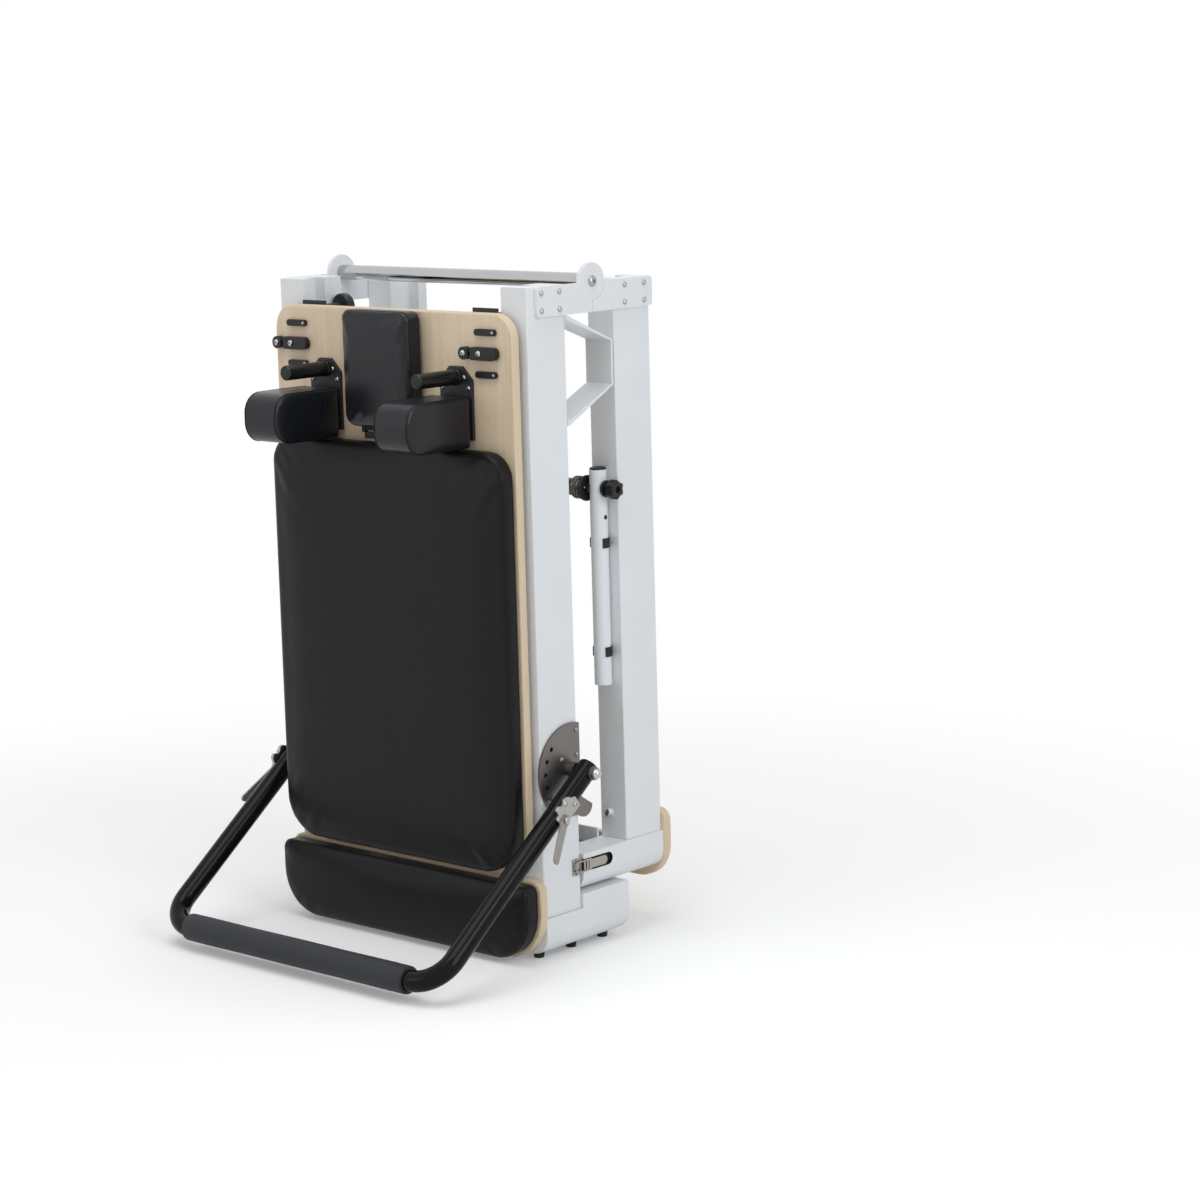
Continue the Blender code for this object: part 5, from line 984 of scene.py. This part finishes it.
matte_black = coat("moulded_black", (0.011, 0.011, 0.012), 0.36, 1000, 0.00004, tone=0.1,
                   Specular_IOR_Level=0.3)
dress(["rope_fittings_left", "rope_fittings_right", "cleat_cam_left", "cleat_cam_right"],
      matte_black, angle=30, edge=0.0007)
fitting_x, cleat_face, cleat_z = 0.239, -0.0383, 1.091
spots = []
for shift, lift in ((-0.0475, 0), (-0.0095, 0.0003)):
    spots += in_front(cleat_face - lift, *[(side * fitting_x + shift, cleat_z)
                                           for side in (1, -1)])
screws("cleat_bolts", 0.0058, 0.0033, spots, "carriage")
guide_face, guide_screw = -0.0323, 0.019
spots = in_front(guide_face, *[(side * fitting_x + guide_screw, z) for side in (-1, 1)
                               for z in (1.054, 1.128)])
screws("guide_screws", 0.0028, 0.0016, spots, "carriage")


# Running gear. The trucks and spring bar are black steel, the wheels moulded
# polyurethane. Four close-wound steel springs lie between two holders.

dress(["truck_upper", "truck_lower", "spring_bar"], satin_black)
wheel_black = coat("wheel_black", (0.014, 0.014, 0.015), 0.33, 800, 0.00002, tone=0.1,
                   Specular_IOR_Level=0.3)
dress(["load_wheels_upper", "load_wheels_lower", "guide_wheel_upper_left",
       "guide_wheel_upper_right", "guide_wheel_lower_left", "guide_wheel_lower_right"],
      wheel_black)
dress(["carriage_springs"], brushed_steel, angle=50, edge=0.0004)
spring_low, spring_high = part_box("carriage_springs")
wire, neck, spring_pitch, spring_radius, spring_y = 0.0012, 0.051, 0.085, 0.0160, 0.068
wound_from, wound_to = spring_low.z + neck, spring_high.z - neck
steps = 16 * int((wound_to - wound_from) / (2.05 * wire))
coils = []
for place in (-1.5, -0.5, 0.5, 1.5):
    route = []
    for step in range(steps + 1):
        turn = 2 * math.pi * step / 16
        route.append((place * spring_pitch + spring_radius * math.cos(turn),
                      spring_y + spring_radius * math.sin(turn),
                      wound_from + (wound_to - wound_from) * step / steps))
    coils.append(drawn("coil", route, wire, 0))
finished(joined("spring_coils", *coils), "carriage", brushed_steel, "brushed_steel")


# Risers. A white tube with a black cap stands in two clips in front of each
# head rail. A reel on its inner side holds the wound rope, and a star knob on
# its outer side locks it.

dress(["riser_clip_low_left", "riser_clip_low_right", "riser_clip_high_left",
       "riser_clip_high_right"], matte_black, angle=30, edge=0.0007)
knob_low, knob_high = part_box("star_knob_right")
tube_low, tube_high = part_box("riser_right")
cap_height, plug_z = 0.005, 0.779
riser_y, reel_z = (knob_low.y + knob_high.y) / 2, (knob_low.z + knob_high.z) / 2
riser_x, tube_top = (rail_low.x + rail_high.x) / 2, tube_high.z - cap_height
tube = turned("tube", [(0.0152, tube_low.z), (0.0160, tube_low.z + 0.0006),
                       (0.0160, tube_top - 0.0006), (0.0154, tube_top)], 64)
tube.data.transform(Matrix.Translation((riser_x, riser_y, 0)))
pair(tube, "riser_tube", "head_half", powder_coat, "white_powder_coat", "riser_{}")
cap = turned("cap", [(0.0152, tube_top - 0.001), (0.0155, tube_top + 0.001),
                     (0.0146, tube_top + 0.0032), (0.0100, tube_top + 0.0048)], 48)
cap.data.transform(Matrix.Translation((riser_x, riser_y, 0)))
plug = turned("plug", [(0.0041, 0), (0.0041, 0.0007), (0.0030, 0.0011)], 24)
plug.data.transform(facing((1, 0, 0), (riser_x + 0.0155, riser_y, plug_z)))
pair(joined("riser_cap", plug, cap), "riser_cap", "head_half", matte_black, "black_plastic")

reel_y, flange_out = rail_low.y - 0.024, 0.2652
reel = turned("reel", [(0.0090, -0.0067), (0.0090, 0), (0.0222, 0), (0.0235, 0.0010),
                       (0.0235, 0.0030), (0.0225, 0.0040), (0.0092, 0.0040), (0.0092, 0.0500),
                       (0.0152, 0.0500), (0.0160, 0.0508), (0.0160, 0.0532), (0.0152, 0.0540),
                       (0.0070, 0.0540), (0.0062, 0.0510)], 64)
reel.data.transform(facing((-1, 0, 0), (flange_out, reel_y, reel_z)))
pair(reel, "rope_reel", "head_half", matte_black, "black_plastic")
screws("reel_screws", 0.0022, 0.0014, both_sides(flange_out, (reel_y - 0.008, reel_z + 0.002)),
       "head_half")

lobes, lobe_depth, star_low = 6, 0.17, 0.0111
knob = turned("knob", [(0.0140, 0), (0.0152, 0.0008), (0.0155, 0.0040), (0.0146, 0.0052),
                       (0.0092, 0.0056), (0.0084, 0.0108), (0.0120, 0.0112), (0.0160, 0.0120),
                       (0.0178, 0.0138), (0.0178, 0.0272), (0.0170, 0.0296), (0.0148, 0.0306),
                       (0.0085, 0.0310), (0.0066, 0.0306), (0.0060, 0.0290), (0.0056, 0.0240)], 72)
for vertex in knob.data.vertices:
    if vertex.co.z > star_low and vertex.co.xy.length > 0.010:
        turn = math.atan2(vertex.co.y, vertex.co.x)
        lobe = 1 - lobe_depth * (0.5 - 0.5 * math.cos(lobes * turn)) ** 0.8
        vertex.co.x *= lobe
        vertex.co.y *= lobe
knob.data.transform(facing((1, 0, 0), (knob_low.x, riser_y, reel_z)))
pair(knob, "riser_knob", "knob_{}", matte_black, "black_plastic", "star_knob_{}")


# Ropes. Each is a soft 6 mm cord with dark and light flecks, wound on its reel:
# six turns along the core and three more back over them.

flecked, tree, shader = fresh("flecked_rope")
place = node(tree, "TexCoord")
yarn = node(tree, "TexVoronoi", {"Vector": place.outputs["Object"], "Scale": 620.0})
tint = node(tree, "SeparateColor", {0: yarn.outputs["Color"]})
flecks = shades(tree, tint, (0.0, (0.020, 0.019, 0.018, 1)), (0.42, (0.13, 0.125, 0.115, 1)),
                (0.72, (0.42, 0.41, 0.38, 1)), interpolation="CONSTANT")
bump = node(tree, "Bump", {"Height": yarn.outputs["Distance"], "Distance": 0.0004})
feed(tree, shader, {"Base Color": flecks, "Normal": bump, "Roughness": 0.75,
                    "Specular IOR Level": 0.25})

rope, per_turn, turns_along, turns_back, climb = 0.003, 24, 6, 3, 0.35
near_flange, far_flange, inner, outer = 0.2579, 0.2185, 0.01273, 0.01800
pitch = (near_flange - far_flange) / turns_along
for word, side in (("right", 1), ("left", -1)):
    route = []
    for step in range(-turns_along * per_turn, turns_back * per_turn + 1):
        turn = 2 * math.pi * step / per_turn
        rise = min(max(step / (per_turn * climb), 0), 1)
        ring = inner + (outer - inner) * rise * rise * (3 - 2 * rise)
        across = near_flange - pitch * abs(step) / per_turn
        route.append(Vector((side * across, reel_y + ring * math.cos(turn),
                             reel_z - ring * math.sin(turn))))
    winding = drawn(f"wound_rope_{word}", route, rope, 3)
    finished(winding, "head_half", flecked, "flecked_rope", f"rope_winding_{word}")
